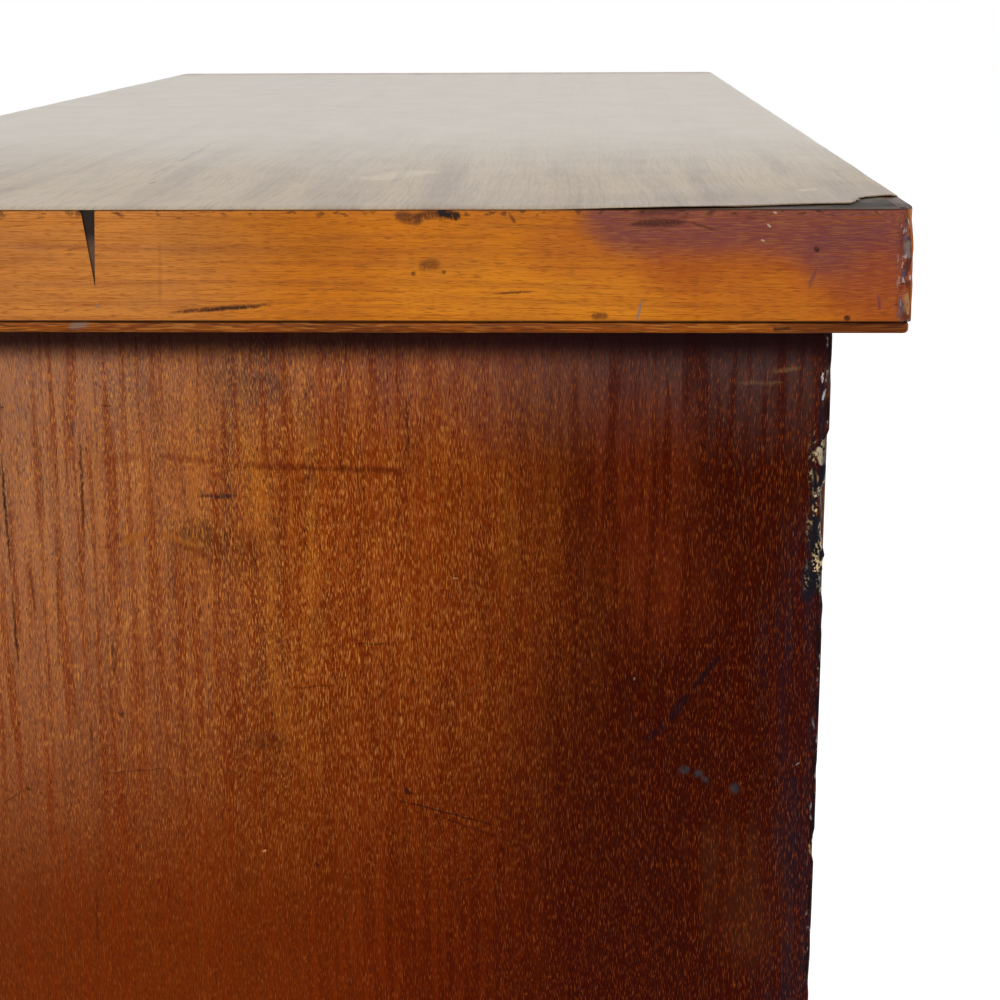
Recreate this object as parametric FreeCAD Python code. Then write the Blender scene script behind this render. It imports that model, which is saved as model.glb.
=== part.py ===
import FreeCAD, Part
import math
import os

# Antique chest of two short over three long drawers, in millimetres
# The front faces -Y, the left end of the chest is at -X, and the floor is z = 0
# The origin is under the middle of the whole object's box, knobs included

# Top: veneered core, thickened at its rim, with edge facings and a bead
TOP_LENGTH = 1190.0
TOP_DEPTH = 500.0
TOP_FRONT_OVERHANG = 26.0
TOP_BACK_OVERHANG = 12.0
TOP_SIDE_OVERHANG = 25.0
TOP_CORNER_RADIUS = 3.5
VENEER_THICKNESS = 1.0
CORE_THICKNESS = 23.5
PACKING_THICKNESS = 23.0
PACKING_WIDTH = 72.0
FACING_THICKNESS = 6.0
BEAD_HEIGHT = 4.5
BEAD_SETBACK = 0.8
BEAD_ROUNDING = 1.5

# Old losses at the left end: the veneer's broken front corner and a sliver gone from the edge facing
LOST_ALONG_END = 64.0
LOST_ALONG_FRONT = 43.0
LOST_STEP_IN = 15.0
LOST_STEP_BACK = 18.0
SLIVER_FROM_FRONT = 303.5
SLIVER_WIDTH = 5.5
SLIVER_LENGTH = 28.0
SLIVER_DEPTH = 1.5

# Carcass boards
SIDE_THICKNESS = 20.0
RAIL_THICKNESS = 20.0
RAIL_DEPTH = 75.0
REAR_RAIL_DEPTH = 50.0
BOTTOM_THICKNESS = 18.0
BACK_THICKNESS = 10.0
BACK_REBATE = 10.0
BACK_BOARDS = 6
BACK_LAP = 8.0
BACK_LIFT = 8.0
DUST_THICKNESS = 7.0
DUST_GROOVE = 6.0

# Joints of the carcass
HOUSING_DEPTH = 6.0
TENON_LENGTH = 8.0
TENON_SHOULDER = 4.0
TENON_MARGIN = 8.0
RAIL_TAIL_LENGTH = 14.0
RAIL_TAIL_MARGIN = 8.0
RAIL_TAIL_FLARE = 6.0

# Drawer openings, from the lowest long drawer to the short ones
LOWER_OPENING = 240.0
MIDDLE_OPENING = 215.0
UPPER_OPENING = 190.0
SHORT_OPENING = 165.0
DIVIDER_THICKNESS = 20.0

# Runners, kickers, guide and stops
RUNNER_WIDTH = 40.0
CENTRE_RUNNER_WIDTH = 80.0
GUIDE_HEIGHT = 20.0
STOP_HEIGHT = 5.0
STOP_LENGTH = 40.0
STOP_WIDTH = 30.0
STOP_INSET = 110.0

# Plinth and feet
PLINTH_HEIGHT = 83.0
PLINTH_THICKNESS = 14.0
PLINTH_REVEAL = 10.0
MOULD_HEIGHT = 18.0
MOULD_STEP = 2.0
FOOT_HEIGHT = 95.0
FOOT_RADIUS = 56.0
FOOT_PAD_RADIUS = 31.0
FOOT_COLLAR_RADIUS = 41.0
FOOT_COLLAR_HEIGHT = 9.0
FOOT_NECK_RADIUS = 35.0
FOOT_NECK_HEIGHT = 6.0
FOOT_FLAT_COUNT = 20
FOOT_INSET = 62.0
DOWEL_RADIUS = 11.0
DOWEL_LENGTH = 36.0
DOWEL_END_GAP = 1.0
BLOCK_SIZE = 84.0
GLUE_BLOCK_LENGTH = 60.0
GLUE_BLOCK_SIZE = 32.0
GLUE_BLOCK_COUNT = 3

# Drawers
FRONT_THICKNESS = 20.0
DRAWER_SIDE_THICKNESS = 11.0
DRAWER_BACK_THICKNESS = 10.0
DRAWER_REAR_GAP = 22.0
DRAWER_SIDE_GAP = 1.0
DRAWER_TOP_GAP = 1.5
RUNNING_GAP = 0.3
SIDE_DROP = 3.0
BACK_DROP = 9.0
PANEL_THICKNESS = 7.0
PANEL_LIFT = 9.0
PANEL_GROOVE = 4.0
FRONT_GROOVE = 6.0
GROOVE_SLACK = 0.5
MUNTIN_WIDTH = 40.0
MUNTIN_LIP = 3.0
LAP_THICKNESS = 6.0
TAIL_SLOPE = 1.0 / 7.0
TAIL_PITCH = 48.0
PIN_TIP = 4.0
HALF_PIN = 4.0
COCKBEAD_THICKNESS = 3.0
COCKBEAD_PROUD = 2.0

# Knobs: two on a long drawer and one on a short one
KNOB_RADIUS = 22.0
KNOB_REACH = 30.0
KNOB_BASE_RADIUS = 15.0
KNOB_BASE_HEIGHT = 4.0
KNOB_NECK_RADIUS = 10.0
KNOB_NECK_HEIGHT = 9.0
KNOB_NECK_FLARE = 1.2
KNOB_DOME_HEIGHT = 11.0
KNOB_CROWN_ANGLE = 68.0
KNOB_FLAT_COUNT = 16
SPIGOT_RADIUS = 8.0
SPIGOT_GAP = 0.05
SPIGOT_RECESS = 0.5
KNOB_INSET = 205.0

# Locks
LOCK_WIDTH = 64.0
LOCK_HEIGHT = 42.0
LOCK_PLATE = 1.5
SELVEDGE_DEPTH = 12.0
SELVEDGE_THICKNESS = 2.0
CASE_MARGIN = 6.0
CASE_DEPTH = 8.5
CASE_WALL = 1.2
BOLT_WIDTH = 22.0
BOLT_HEIGHT = 26.0
BOLT_THICKNESS = 4.5
BOLT_GAP = 0.3
BOLT_MORTISE_DEPTH = 8.0
BOLT_MORTISE_SLACK = 1.0
KEYHOLE_DROP = 25.0
KEYHOLE_RADIUS = 3.0
KEYHOLE_SLOT = 2.6
KEYHOLE_LENGTH = 9.0
KEYHOLE_FLAT_COUNT = 8
KEY_PIN_RADIUS = 1.4
ESCUTCHEON_RIM = 1.6
ESCUTCHEON_DEPTH = 3.0

# Levels that follow from the sizes above
SIDE_BOTTOM = FOOT_HEIGHT
PLINTH_TOP = FOOT_HEIGHT + PLINTH_HEIGHT
LOWER_Z = PLINTH_TOP + PLINTH_REVEAL
MIDDLE_Z = LOWER_Z + LOWER_OPENING + RAIL_THICKNESS
UPPER_Z = MIDDLE_Z + MIDDLE_OPENING + RAIL_THICKNESS
SHORT_Z = UPPER_Z + UPPER_OPENING + RAIL_THICKNESS
TOP_RAIL_Z = SHORT_Z + SHORT_OPENING
CARCASS_TOP = TOP_RAIL_Z + RAIL_THICKNESS
CORE_BOTTOM = CARCASS_TOP + PACKING_THICKNESS
CORE_TOP = CORE_BOTTOM + CORE_THICKNESS
CHEST_TOP = CORE_TOP + VENEER_THICKNESS
RAIL_LEVELS = [LOWER_Z, MIDDLE_Z, UPPER_Z, SHORT_Z]

# Widths and depths that follow from the sizes above
OUTER_X = TOP_LENGTH / 2 - TOP_SIDE_OVERHANG
INNER_X = OUTER_X - SIDE_THICKNESS
CARCASS_DEPTH = TOP_DEPTH - TOP_FRONT_OVERHANG - TOP_BACK_OVERHANG
FRONT_REACH = max(TOP_FRONT_OVERHANG, KNOB_REACH, PLINTH_THICKNESS)
BACK_REACH = CARCASS_DEPTH + TOP_BACK_OVERHANG
FRONT_Y = (FRONT_REACH - BACK_REACH) / 2
REAR_Y = FRONT_Y + CARCASS_DEPTH
BACK_FACE_Y = REAR_Y - BACK_THICKNESS
RAIL_BACK_Y = FRONT_Y + RAIL_DEPTH
TOP_FRONT_Y = FRONT_Y - TOP_FRONT_OVERHANG
TOP_REAR_Y = REAR_Y + TOP_BACK_OVERHANG
FRONT_BACK_Y = FRONT_Y + FRONT_THICKNESS
DRAWER_END_Y = BACK_FACE_Y - DRAWER_REAR_GAP
SHORT_WIDTH = INNER_X - DIVIDER_THICKNESS / 2
SHORT_CENTRE = (INNER_X + DIVIDER_THICKNESS / 2) / 2

# Feet stand inside the corners of the plinth
FOOT_X = OUTER_X + PLINTH_THICKNESS - FOOT_INSET
FOOT_FRONT_Y = FRONT_Y - PLINTH_THICKNESS + FOOT_INSET
FOOT_REAR_Y = REAR_Y - FOOT_INSET

X_AXIS = FreeCAD.Vector(1, 0, 0)
Y_AXIS = FreeCAD.Vector(0, 1, 0)
Z_AXIS = FreeCAD.Vector(0, 0, 1)
ORIGIN = FreeCAD.Vector(0, 0, 0)


def block(x_pair, y_pair, z_pair):
    """A board with square edges between two x, two y and two z values."""
    corner = FreeCAD.Vector(x_pair[0], y_pair[0], z_pair[0])
    size = (x_pair[1] - x_pair[0], y_pair[1] - y_pair[0], z_pair[1] - z_pair[0])
    return Part.makeBox(size[0], size[1], size[2], corner)


def straight_face(points):
    """A flat face with straight edges through the points."""
    return Part.Face(Part.makePolygon(points + [points[0]]))


def prism_yz(outline, x_pair):
    """A (y, z) outline run along X."""
    face = straight_face([FreeCAD.Vector(x_pair[0], y, z) for y, z in outline])
    return face.extrude(X_AXIS * (x_pair[1] - x_pair[0]))


def prism_xz(outline, y_pair):
    """An (x, z) outline run along Y."""
    face = straight_face([FreeCAD.Vector(x, y_pair[0], z) for x, z in outline])
    return face.extrude(Y_AXIS * (y_pair[1] - y_pair[0]))


def prism_xy(outline, z_pair):
    """An (x, y) outline run up Z."""
    face = straight_face([FreeCAD.Vector(x, y, z_pair[0]) for x, y in outline])
    return face.extrude(Z_AXIS * (z_pair[1] - z_pair[0]))


def curved_face(start, steps, place):
    """A face whose outline has lines (one point) and arcs (a middle and an end point)."""
    edges = []
    here = start
    for step in steps:
        end = step[-1]
        if len(step) == 1:
            edges.append(Part.LineSegment(place(here), place(end)).toShape())
        else:
            edges.append(Part.Arc(place(here), place(step[0]), place(end)).toShape())
        here = end
    return Part.Face(Part.Wire(edges))


def point_on_circle(centre, radius, degrees):
    """The point on a circle at an angle, used as the middle of an arc."""
    turn = math.radians(degrees)
    return (centre[0] + radius * math.cos(turn), centre[1] + radius * math.sin(turn))


def oval_points(centre_z, radius, half_height, degrees):
    """Points (radius, height) on an oval that a lathe would leave, at the angles given."""
    points = []
    for angle in degrees:
        turn = math.radians(angle)
        points.append((radius * math.cos(turn), centre_z + half_height * math.sin(turn)))
    return points


def turned(profile, sides):
    """A turned piece: a profile of (radius, height) points carried round Z in equal flats."""
    rings = []
    for radius, height in profile:
        ring = []
        for index in range(sides):
            turn = 2 * math.pi * (index + 0.5) / sides
            ring.append(FreeCAD.Vector(radius * math.cos(turn), radius * math.sin(turn), height))
        rings.append(ring)
    faces = [straight_face(rings[0]), straight_face(rings[-1])]
    for lower, upper in zip(rings, rings[1:]):
        for index in range(sides):
            after = (index + 1) % sides
            faces.append(straight_face([lower[index], lower[after], upper[after], upper[index]]))
    solid = Part.makeSolid(Part.makeShell(faces))
    if solid.Volume < 0:
        solid.reverse()
    return solid


def towards_front(shape):
    """A turned piece laid down so that its axis points out of the chest's front."""
    laid = shape.copy()
    laid.rotate(ORIGIN, X_AXIS, 90)
    return laid


def union(shapes):
    """One solid from solids that touch or overlap."""
    joined = shapes[0].fuse(shapes[1:])
    return joined.removeSplitter()


def mirrored(shape):
    """The same piece on the other side of the chest's middle plane."""
    return shape.mirror(ORIGIN, X_AXIS)


def solids_of(shapes):
    """Every solid in a list of shapes."""
    found = []
    for shape in shapes:
        found.extend(shape.Solids)
    return found


def write_node(name, shapes):
    """Write one sub-part, of one or several separate solids."""
    solids = solids_of(shapes)
    for solid in solids:
        if not solid.isValid():
            raise ValueError(name + " has a solid that is not valid")
    shape = solids[0] if len(solids) == 1 else Part.makeCompound(solids)
    shape.exportStep("parts/" + name + ".step")
    print(name, len(solids), round(shape.Volume))


# Top

def top_outline(inset, z_pair):
    """The top's outline with rounded front corners, drawn in by an inset at the front and ends."""
    half = TOP_LENGTH / 2 - inset
    board = block((-half, half), (TOP_FRONT_Y + inset, TOP_REAR_Y), z_pair)
    radius = TOP_CORNER_RADIUS - inset
    if radius <= 0:
        return board
    corners = []
    for edge in board.Edges:
        upright = abs(edge.Vertexes[0].Z - edge.Vertexes[1].Z) > (z_pair[1] - z_pair[0]) / 2
        in_front = edge.CenterOfMass.y < TOP_FRONT_Y + inset + radius
        if upright and in_front:
            corners.append(edge)
    return board.makeFillet(radius, corners)


def mitre_zone(side, z_pair):
    """The space that one of the three mitred strips of the rim lies in: left, front or right."""
    half = TOP_LENGTH / 2
    reach = PACKING_WIDTH
    slack = FACING_THICKNESS
    if side == "front":
        outline = [(-half - slack, TOP_FRONT_Y - slack), (half + slack, TOP_FRONT_Y - slack),
                   (half - reach, TOP_FRONT_Y + reach), (-half + reach, TOP_FRONT_Y + reach)]
        return prism_xy(outline, z_pair)
    outline = [(-half - slack, TOP_FRONT_Y - slack), (-half + reach, TOP_FRONT_Y + reach),
               (-half + reach, TOP_REAR_Y + slack), (-half - slack, TOP_REAR_Y + slack)]
    zone = prism_xy(outline, z_pair)
    return zone if side == "left" else mirrored(zone)


def lost_corner(z_pair):
    """What is gone from the veneer: its front left corner, broken back in two steps."""
    left = -TOP_LENGTH / 2
    outline = [(left, TOP_FRONT_Y),
               (left + LOST_ALONG_FRONT, TOP_FRONT_Y),
               (left + LOST_ALONG_FRONT, TOP_FRONT_Y + LOST_STEP_BACK),
               (left + LOST_STEP_IN, TOP_FRONT_Y + LOST_STEP_BACK),
               (left, TOP_FRONT_Y + LOST_ALONG_END)]
    return prism_xy(outline, z_pair)


def lost_sliver():
    """The sliver gone from the left edge facing: widest at the top and pointed below."""
    left = -TOP_LENGTH / 2
    straight_y = TOP_FRONT_Y + SLIVER_FROM_FRONT
    outline = [(straight_y, CORE_TOP),
               (straight_y + SLIVER_WIDTH, CORE_TOP),
               (straight_y, CORE_TOP - SLIVER_LENGTH)]
    return prism_yz(outline, (left, left + SLIVER_DEPTH))


def make_top():
    """The top: core, veneer, three mitred facings, the bead under them and the packing behind it."""
    veneer_z = (CORE_TOP, CHEST_TOP)
    facing_z = (CARCASS_TOP + BEAD_HEIGHT, CORE_TOP)
    bead_z = (CARCASS_TOP, CARCASS_TOP + BEAD_HEIGHT)
    write_node("top_core", [top_outline(FACING_THICKNESS, (CORE_BOTTOM, CORE_TOP))])
    write_node("top_veneer", [top_outline(0, veneer_z).cut(lost_corner(veneer_z))])

    ring = top_outline(0, facing_z).cut(top_outline(FACING_THICKNESS, facing_z))
    facings = {side: ring.common(mitre_zone(side, facing_z)) for side in ("front", "left", "right")}
    facings["left"] = facings["left"].cut(lost_sliver())
    for side, facing in facings.items():
        write_node("top_edge_" + side, [facing])

    # The bead's nose is worked in three flats, above and below
    bead_block = top_outline(BEAD_SETBACK, bead_z)
    nose = []
    for edge in bead_block.Edges:
        level = abs(edge.Vertexes[0].Z - edge.Vertexes[-1].Z) < BEAD_HEIGHT / 2
        if level and edge.CenterOfMass.y < TOP_REAR_Y - BEAD_HEIGHT:
            nose.append(edge)
    rounded = bead_block.makeChamfer(BEAD_ROUNDING, nose)
    bead_ring = rounded.cut(top_outline(FACING_THICKNESS, bead_z))
    beads = [bead_ring.common(mitre_zone(side, bead_z)) for side in ("front", "left", "right")]
    write_node("top_beads", beads)

    # Packing strips under the rim: the front and back ones run through, the end ones fit between
    outer = top_outline(FACING_THICKNESS, (CARCASS_TOP, CORE_BOTTOM))
    half = TOP_LENGTH / 2
    front_y = TOP_FRONT_Y + FACING_THICKNESS + PACKING_WIDTH
    rear_y = TOP_REAR_Y - PACKING_WIDTH
    end_x = half - FACING_THICKNESS - PACKING_WIDTH
    strip_z = (CARCASS_TOP, CORE_BOTTOM)
    front = outer.common(block((-half, half), (TOP_FRONT_Y, front_y), strip_z))
    rear = outer.common(block((-half, half), (rear_y, TOP_REAR_Y), strip_z))
    left = outer.common(block((-half, -end_x), (front_y, rear_y), strip_z))
    write_node("top_packing", [front, rear, left, mirrored(left)])


# Carcass

def rail_tail(depth_pair, z_pair):
    """The dovetail at the right end of a top rail, widening into the side board."""
    neck_front = depth_pair[0] + RAIL_TAIL_MARGIN + RAIL_TAIL_FLARE
    neck_rear = depth_pair[1] - RAIL_TAIL_MARGIN - RAIL_TAIL_FLARE
    end_x = INNER_X + RAIL_TAIL_LENGTH
    outline = [(INNER_X, neck_front), (end_x, neck_front - RAIL_TAIL_FLARE),
               (end_x, neck_rear + RAIL_TAIL_FLARE), (INNER_X, neck_rear)]
    return prism_xy(outline, z_pair)


def rail_tenon(level):
    """The stub tenon at the right end of a drawer rail whose upper face is at a level."""
    z_pair = (level - RAIL_THICKNESS + TENON_SHOULDER, level - TENON_SHOULDER)
    y_pair = (FRONT_Y + TENON_MARGIN, RAIL_BACK_Y - TENON_MARGIN)
    return block((INNER_X, INNER_X + TENON_LENGTH), y_pair, z_pair)


def divider_tenon(z_pair):
    """A stub tenon of the upright divider."""
    half = DIVIDER_THICKNESS / 2 - TENON_SHOULDER
    return block((-half, half), (FRONT_Y + TENON_MARGIN, RAIL_BACK_Y - TENON_MARGIN), z_pair)


TOP_RAIL_SPAN = (TOP_RAIL_Z, CARCASS_TOP)
FRONT_RAIL_SPAN = (FRONT_Y, RAIL_BACK_Y)
REAR_RAIL_SPAN = (BACK_FACE_Y - REAR_RAIL_DEPTH, BACK_FACE_Y)
UPPER_TENON_SPAN = (TOP_RAIL_Z, TOP_RAIL_Z + TENON_LENGTH)
LOWER_TENON_SPAN = (SHORT_Z - TENON_LENGTH, SHORT_Z)
DUST_LIFT = (RAIL_THICKNESS - DUST_THICKNESS) / 2


def make_sides():
    """Side boards: each is one wide board, housed on its inner face for all that it carries."""
    side = block((INNER_X, OUTER_X), (FRONT_Y, REAR_Y), (SIDE_BOTTOM, CARCASS_TOP))
    rebate = block((INNER_X, INNER_X + BACK_REBATE), (BACK_FACE_Y, REAR_Y), (SIDE_BOTTOM, CARCASS_TOP))
    cuts = [rebate]
    for level in RAIL_LEVELS:
        cuts.append(rail_tenon(level))
    housing_x = (INNER_X, INNER_X + HOUSING_DEPTH)
    housing_y = (RAIL_BACK_Y, BACK_FACE_Y)
    for level in RAIL_LEVELS[1:]:
        cuts.append(block(housing_x, housing_y, (level - RAIL_THICKNESS, level)))
    cuts.append(block(housing_x, housing_y, (LOWER_Z - BOTTOM_THICKNESS, LOWER_Z)))
    cuts.append(rail_tail(FRONT_RAIL_SPAN, TOP_RAIL_SPAN))
    cuts.append(rail_tail(REAR_RAIL_SPAN, TOP_RAIL_SPAN))
    side = side.cut(cuts)
    write_node("side_right", [side])
    write_node("side_left", [mirrored(side)])


def bolt_mortise(centre_x, level):
    """The pocket in the underside of a rail that a drawer's bolt rises into."""
    half = BOLT_WIDTH / 2 + BOLT_MORTISE_SLACK
    y_pair = (BOLT_Y[0] - BOLT_MORTISE_SLACK, BOLT_Y[1] + BOLT_MORTISE_SLACK)
    return block((centre_x - half, centre_x + half), y_pair, (level, level + BOLT_MORTISE_DEPTH))


def make_rails():
    """Rails between the drawers, the dovetailed top rails and the upright divider."""
    inner = (-INNER_X, INNER_X)
    rails = []
    for level in RAIL_LEVELS:
        rail = block(inner, FRONT_RAIL_SPAN, (level - RAIL_THICKNESS, level))
        tenon = rail_tenon(level)
        rail = union([rail, tenon, mirrored(tenon)])
        if level != LOWER_Z:
            under = level - RAIL_THICKNESS
            groove_z = (under + DUST_LIFT, under + DUST_LIFT + DUST_THICKNESS)
            rail = rail.cut(block(inner, (RAIL_BACK_Y - DUST_GROOVE, RAIL_BACK_Y), groove_z))
            rail = rail.cut(bolt_mortise(0, under))
        if level == SHORT_Z:
            rail = rail.cut(divider_tenon(LOWER_TENON_SPAN))
        rails.append(rail)
    write_node("drawer_rails", rails)

    top_rails = []
    for span in (FRONT_RAIL_SPAN, REAR_RAIL_SPAN):
        tail = rail_tail(span, TOP_RAIL_SPAN)
        top_rails.append(union([block(inner, span, TOP_RAIL_SPAN), tail, mirrored(tail)]))
    top_rails[0] = top_rails[0].cut(divider_tenon(UPPER_TENON_SPAN))
    for centre_x in (-SHORT_CENTRE, SHORT_CENTRE):
        top_rails[0] = top_rails[0].cut(bolt_mortise(centre_x, TOP_RAIL_Z))
    write_node("top_rails", top_rails)

    half = DIVIDER_THICKNESS / 2
    upright = block((-half, half), FRONT_RAIL_SPAN, (SHORT_Z, TOP_RAIL_Z))
    tenons = [divider_tenon(LOWER_TENON_SPAN), divider_tenon(UPPER_TENON_SPAN)]
    write_node("drawer_divider", [union([upright] + tenons)])


def make_runners():
    """Runners housed in the sides, the centre runner with its guide, the kickers and dust boards."""
    pieces = []
    dust_boards = []
    run_y = (RAIL_BACK_Y, BACK_FACE_Y)
    inner_edge = INNER_X - RUNNER_WIDTH
    half_centre = CENTRE_RUNNER_WIDTH / 2
    for level in RAIL_LEVELS[1:]:
        under = level - RAIL_THICKNESS
        dust_z = (under + DUST_LIFT, under + DUST_LIFT + DUST_THICKNESS)
        runner = block((inner_edge, INNER_X + HOUSING_DEPTH), run_y, (under, level))
        runner = runner.cut(block((inner_edge, inner_edge + DUST_GROOVE), run_y, dust_z))
        pieces.extend([runner, mirrored(runner)])
        board_x = inner_edge + DUST_GROOVE
        board_y = (RAIL_BACK_Y - DUST_GROOVE, BACK_FACE_Y)
        if level == SHORT_Z:
            centre = block((-half_centre, half_centre), run_y, (under, level))
            groove = block((half_centre - DUST_GROOVE, half_centre), run_y, dust_z)
            centre = centre.cut([groove, mirrored(groove)])
            guide_half = DIVIDER_THICKNESS / 2
            guide = block((-guide_half, guide_half), run_y, (level, level + GUIDE_HEIGHT))
            pieces.extend([centre, guide])
            board = block((half_centre - DUST_GROOVE, board_x), board_y, dust_z)
            dust_boards.extend([board, mirrored(board)])
        else:
            dust_boards.append(block((-board_x, board_x), board_y, dust_z))
    kicker_y = (RAIL_BACK_Y, REAR_RAIL_SPAN[0])
    kicker = block((inner_edge, INNER_X), kicker_y, TOP_RAIL_SPAN)
    pieces.extend([kicker, mirrored(kicker)])
    pieces.append(block((-half_centre, half_centre), kicker_y, TOP_RAIL_SPAN))
    write_node("drawer_runners", pieces)
    write_node("dust_boards", dust_boards)


def make_stops():
    """Stops glued on the rails: each drawer front comes to rest against two of them."""
    stops = []
    stop_y = (FRONT_BACK_Y + RUNNING_GAP, FRONT_BACK_Y + RUNNING_GAP + STOP_LENGTH)
    for drawer in DRAWERS:
        offset = drawer["width"] / 2 - STOP_INSET
        for centre_x in (drawer["x"] - offset, drawer["x"] + offset):
            x_pair = (centre_x - STOP_WIDTH / 2, centre_x + STOP_WIDTH / 2)
            stops.append(block(x_pair, stop_y, (drawer["level"], drawer["level"] + STOP_HEIGHT)))
    write_node("drawer_stops", stops)


def make_bottom_and_back():
    """Bottom board behind the bottom rail, and upright back boards lapped edge to edge."""
    reach = INNER_X + HOUSING_DEPTH
    board = block((-reach, reach), (RAIL_BACK_Y, BACK_FACE_Y), (LOWER_Z - BOTTOM_THICKNESS, LOWER_Z))
    write_node("bottom_board", [board])

    half = INNER_X + BACK_REBATE
    step = 2 * half / BACK_BOARDS
    lap_y = BACK_FACE_Y + BACK_THICKNESS / 2
    z_pair = (SIDE_BOTTOM + BACK_LIFT, CARCASS_TOP)
    boards = []
    for index in range(BACK_BOARDS):
        left = -half + index * step
        right = left + step
        front_left = left if index == 0 else left + BACK_LAP
        front_right = right if index == BACK_BOARDS - 1 else right + BACK_LAP
        front_half = block((front_left, front_right), (BACK_FACE_Y, lap_y), z_pair)
        rear_half = block((left, right), (lap_y, REAR_Y), z_pair)
        boards.append(union([front_half, rear_half]))
    write_node("back_boards", boards)


# Plinth and feet

def plinth_section(place):
    """The plinth's section: a flat face, a small step, then an ovolo under a square top."""
    flat_top = PLINTH_HEIGHT - MOULD_HEIGHT
    step_in = PLINTH_THICKNESS - MOULD_STEP
    ovolo = step_in - MOULD_STEP
    ovolo_z = flat_top + ovolo
    centre = (MOULD_STEP, flat_top)
    steps = [((PLINTH_THICKNESS, 0),),
             ((PLINTH_THICKNESS, flat_top),),
             ((step_in, flat_top),),
             (point_on_circle(centre, ovolo, 45), (MOULD_STEP, ovolo_z)),
             ((MOULD_STEP, PLINTH_HEIGHT),),
             ((0, PLINTH_HEIGHT),),
             ((0, 0),)]
    return curved_face((0, 0), steps, place)


def make_plinth():
    """The plinth: a moulded front and two returns, mitred at the front corners."""
    out_x = OUTER_X + PLINTH_THICKNESS
    out_y = FRONT_Y - PLINTH_THICKNESS
    front_face = plinth_section(lambda p: FreeCAD.Vector(-out_x, FRONT_Y - p[0], SIDE_BOTTOM + p[1]))
    front = front_face.extrude(X_AXIS * (2 * out_x))
    side_face = plinth_section(lambda p: FreeCAD.Vector(OUTER_X + p[0], out_y, SIDE_BOTTOM + p[1]))
    side = side_face.extrude(Y_AXIS * (REAR_Y - out_y))
    # The mitre at the right corner: what lies behind the diagonal belongs to the return
    z_pair = (SIDE_BOTTOM, PLINTH_TOP)
    behind = prism_xy([(out_x, out_y), (out_x, REAR_Y), (OUTER_X, REAR_Y), (OUTER_X, FRONT_Y)], z_pair)
    corner = block((OUTER_X, out_x), (out_y, FRONT_Y), z_pair)
    ahead = corner.common(behind)
    front = front.cut([ahead, mirrored(ahead)])
    side = side.common(behind)
    write_node("plinth", [front, side, mirrored(side)])


def make_blocks():
    """Corner blocks that take the feet's dowels, and glue blocks behind the front plinth."""
    rail_under = LOWER_Z - RAIL_THICKNESS
    board_under = LOWER_Z - BOTTOM_THICKNESS
    pieces = []
    for y_pair, foot_y, top_z in (((FRONT_Y, FOOT_FRONT_Y + BLOCK_SIZE / 2), FOOT_FRONT_Y, rail_under),
                                  ((FOOT_REAR_Y - BLOCK_SIZE / 2, BACK_FACE_Y), FOOT_REAR_Y, board_under)):
        corner = block((FOOT_X - BLOCK_SIZE / 2, INNER_X), y_pair, (SIDE_BOTTOM, top_z))
        hole_radius = DOWEL_RADIUS + SPIGOT_GAP
        hole_top = SIDE_BOTTOM + DOWEL_LENGTH + DOWEL_END_GAP
        hole = turned([(hole_radius, SIDE_BOTTOM), (hole_radius, hole_top)], FOOT_FLAT_COUNT)
        corner = corner.cut(hole.translated(FreeCAD.Vector(FOOT_X, foot_y, 0)))
        pieces.extend([corner, mirrored(corner)])
    gap = (FOOT_X - BLOCK_SIZE / 2) * 2 / (GLUE_BLOCK_COUNT + 1)
    for index in range(GLUE_BLOCK_COUNT):
        centre_x = -(FOOT_X - BLOCK_SIZE / 2) + gap * (index + 1)
        x_pair = (centre_x - GLUE_BLOCK_LENGTH / 2, centre_x + GLUE_BLOCK_LENGTH / 2)
        y_pair = (FRONT_Y, FRONT_Y + GLUE_BLOCK_SIZE)
        pieces.append(block(x_pair, y_pair, (rail_under - GLUE_BLOCK_SIZE, rail_under)))
    write_node("glue_blocks", pieces)


def make_feet():
    """Bun feet turned in one piece with their dowels: pad, bun, neck and collar."""
    collar_z = FOOT_HEIGHT - FOOT_COLLAR_HEIGHT
    neck_z = collar_z - FOOT_NECK_HEIGHT
    low_angle = math.degrees(math.acos(FOOT_PAD_RADIUS / FOOT_RADIUS))
    high_angle = math.degrees(math.acos(FOOT_NECK_RADIUS / FOOT_RADIUS))
    rise = math.sin(math.radians(low_angle)) + math.sin(math.radians(high_angle))
    half_height = neck_z / rise
    belly_z = half_height * math.sin(math.radians(low_angle))
    below = [-low_angle, -low_angle * 2 / 3, -low_angle / 3]
    above = [high_angle / 3, high_angle * 2 / 3, high_angle]
    profile = oval_points(belly_z, FOOT_RADIUS, half_height, below + [0] + above)
    profile += [(FOOT_NECK_RADIUS, collar_z),
                (FOOT_COLLAR_RADIUS, collar_z),
                (FOOT_COLLAR_RADIUS, FOOT_HEIGHT),
                (DOWEL_RADIUS, FOOT_HEIGHT),
                (DOWEL_RADIUS, FOOT_HEIGHT + DOWEL_LENGTH)]
    foot = turned(profile, FOOT_FLAT_COUNT)
    feet = []
    for x in (-FOOT_X, FOOT_X):
        for y in (FOOT_FRONT_Y, FOOT_REAR_Y):
            feet.append(foot.translated(FreeCAD.Vector(x, y, 0)))
    write_node("bun_feet", feet)


# Drawers

CASE_BACK_Y = FRONT_BACK_Y - LOCK_PLATE
CASE_FRONT_Y = CASE_BACK_Y - CASE_DEPTH
BOLT_FRONT_Y = CASE_FRONT_Y + CASE_WALL + BOLT_GAP
BOLT_Y = (BOLT_FRONT_Y, BOLT_FRONT_Y + BOLT_THICKNESS)

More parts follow.
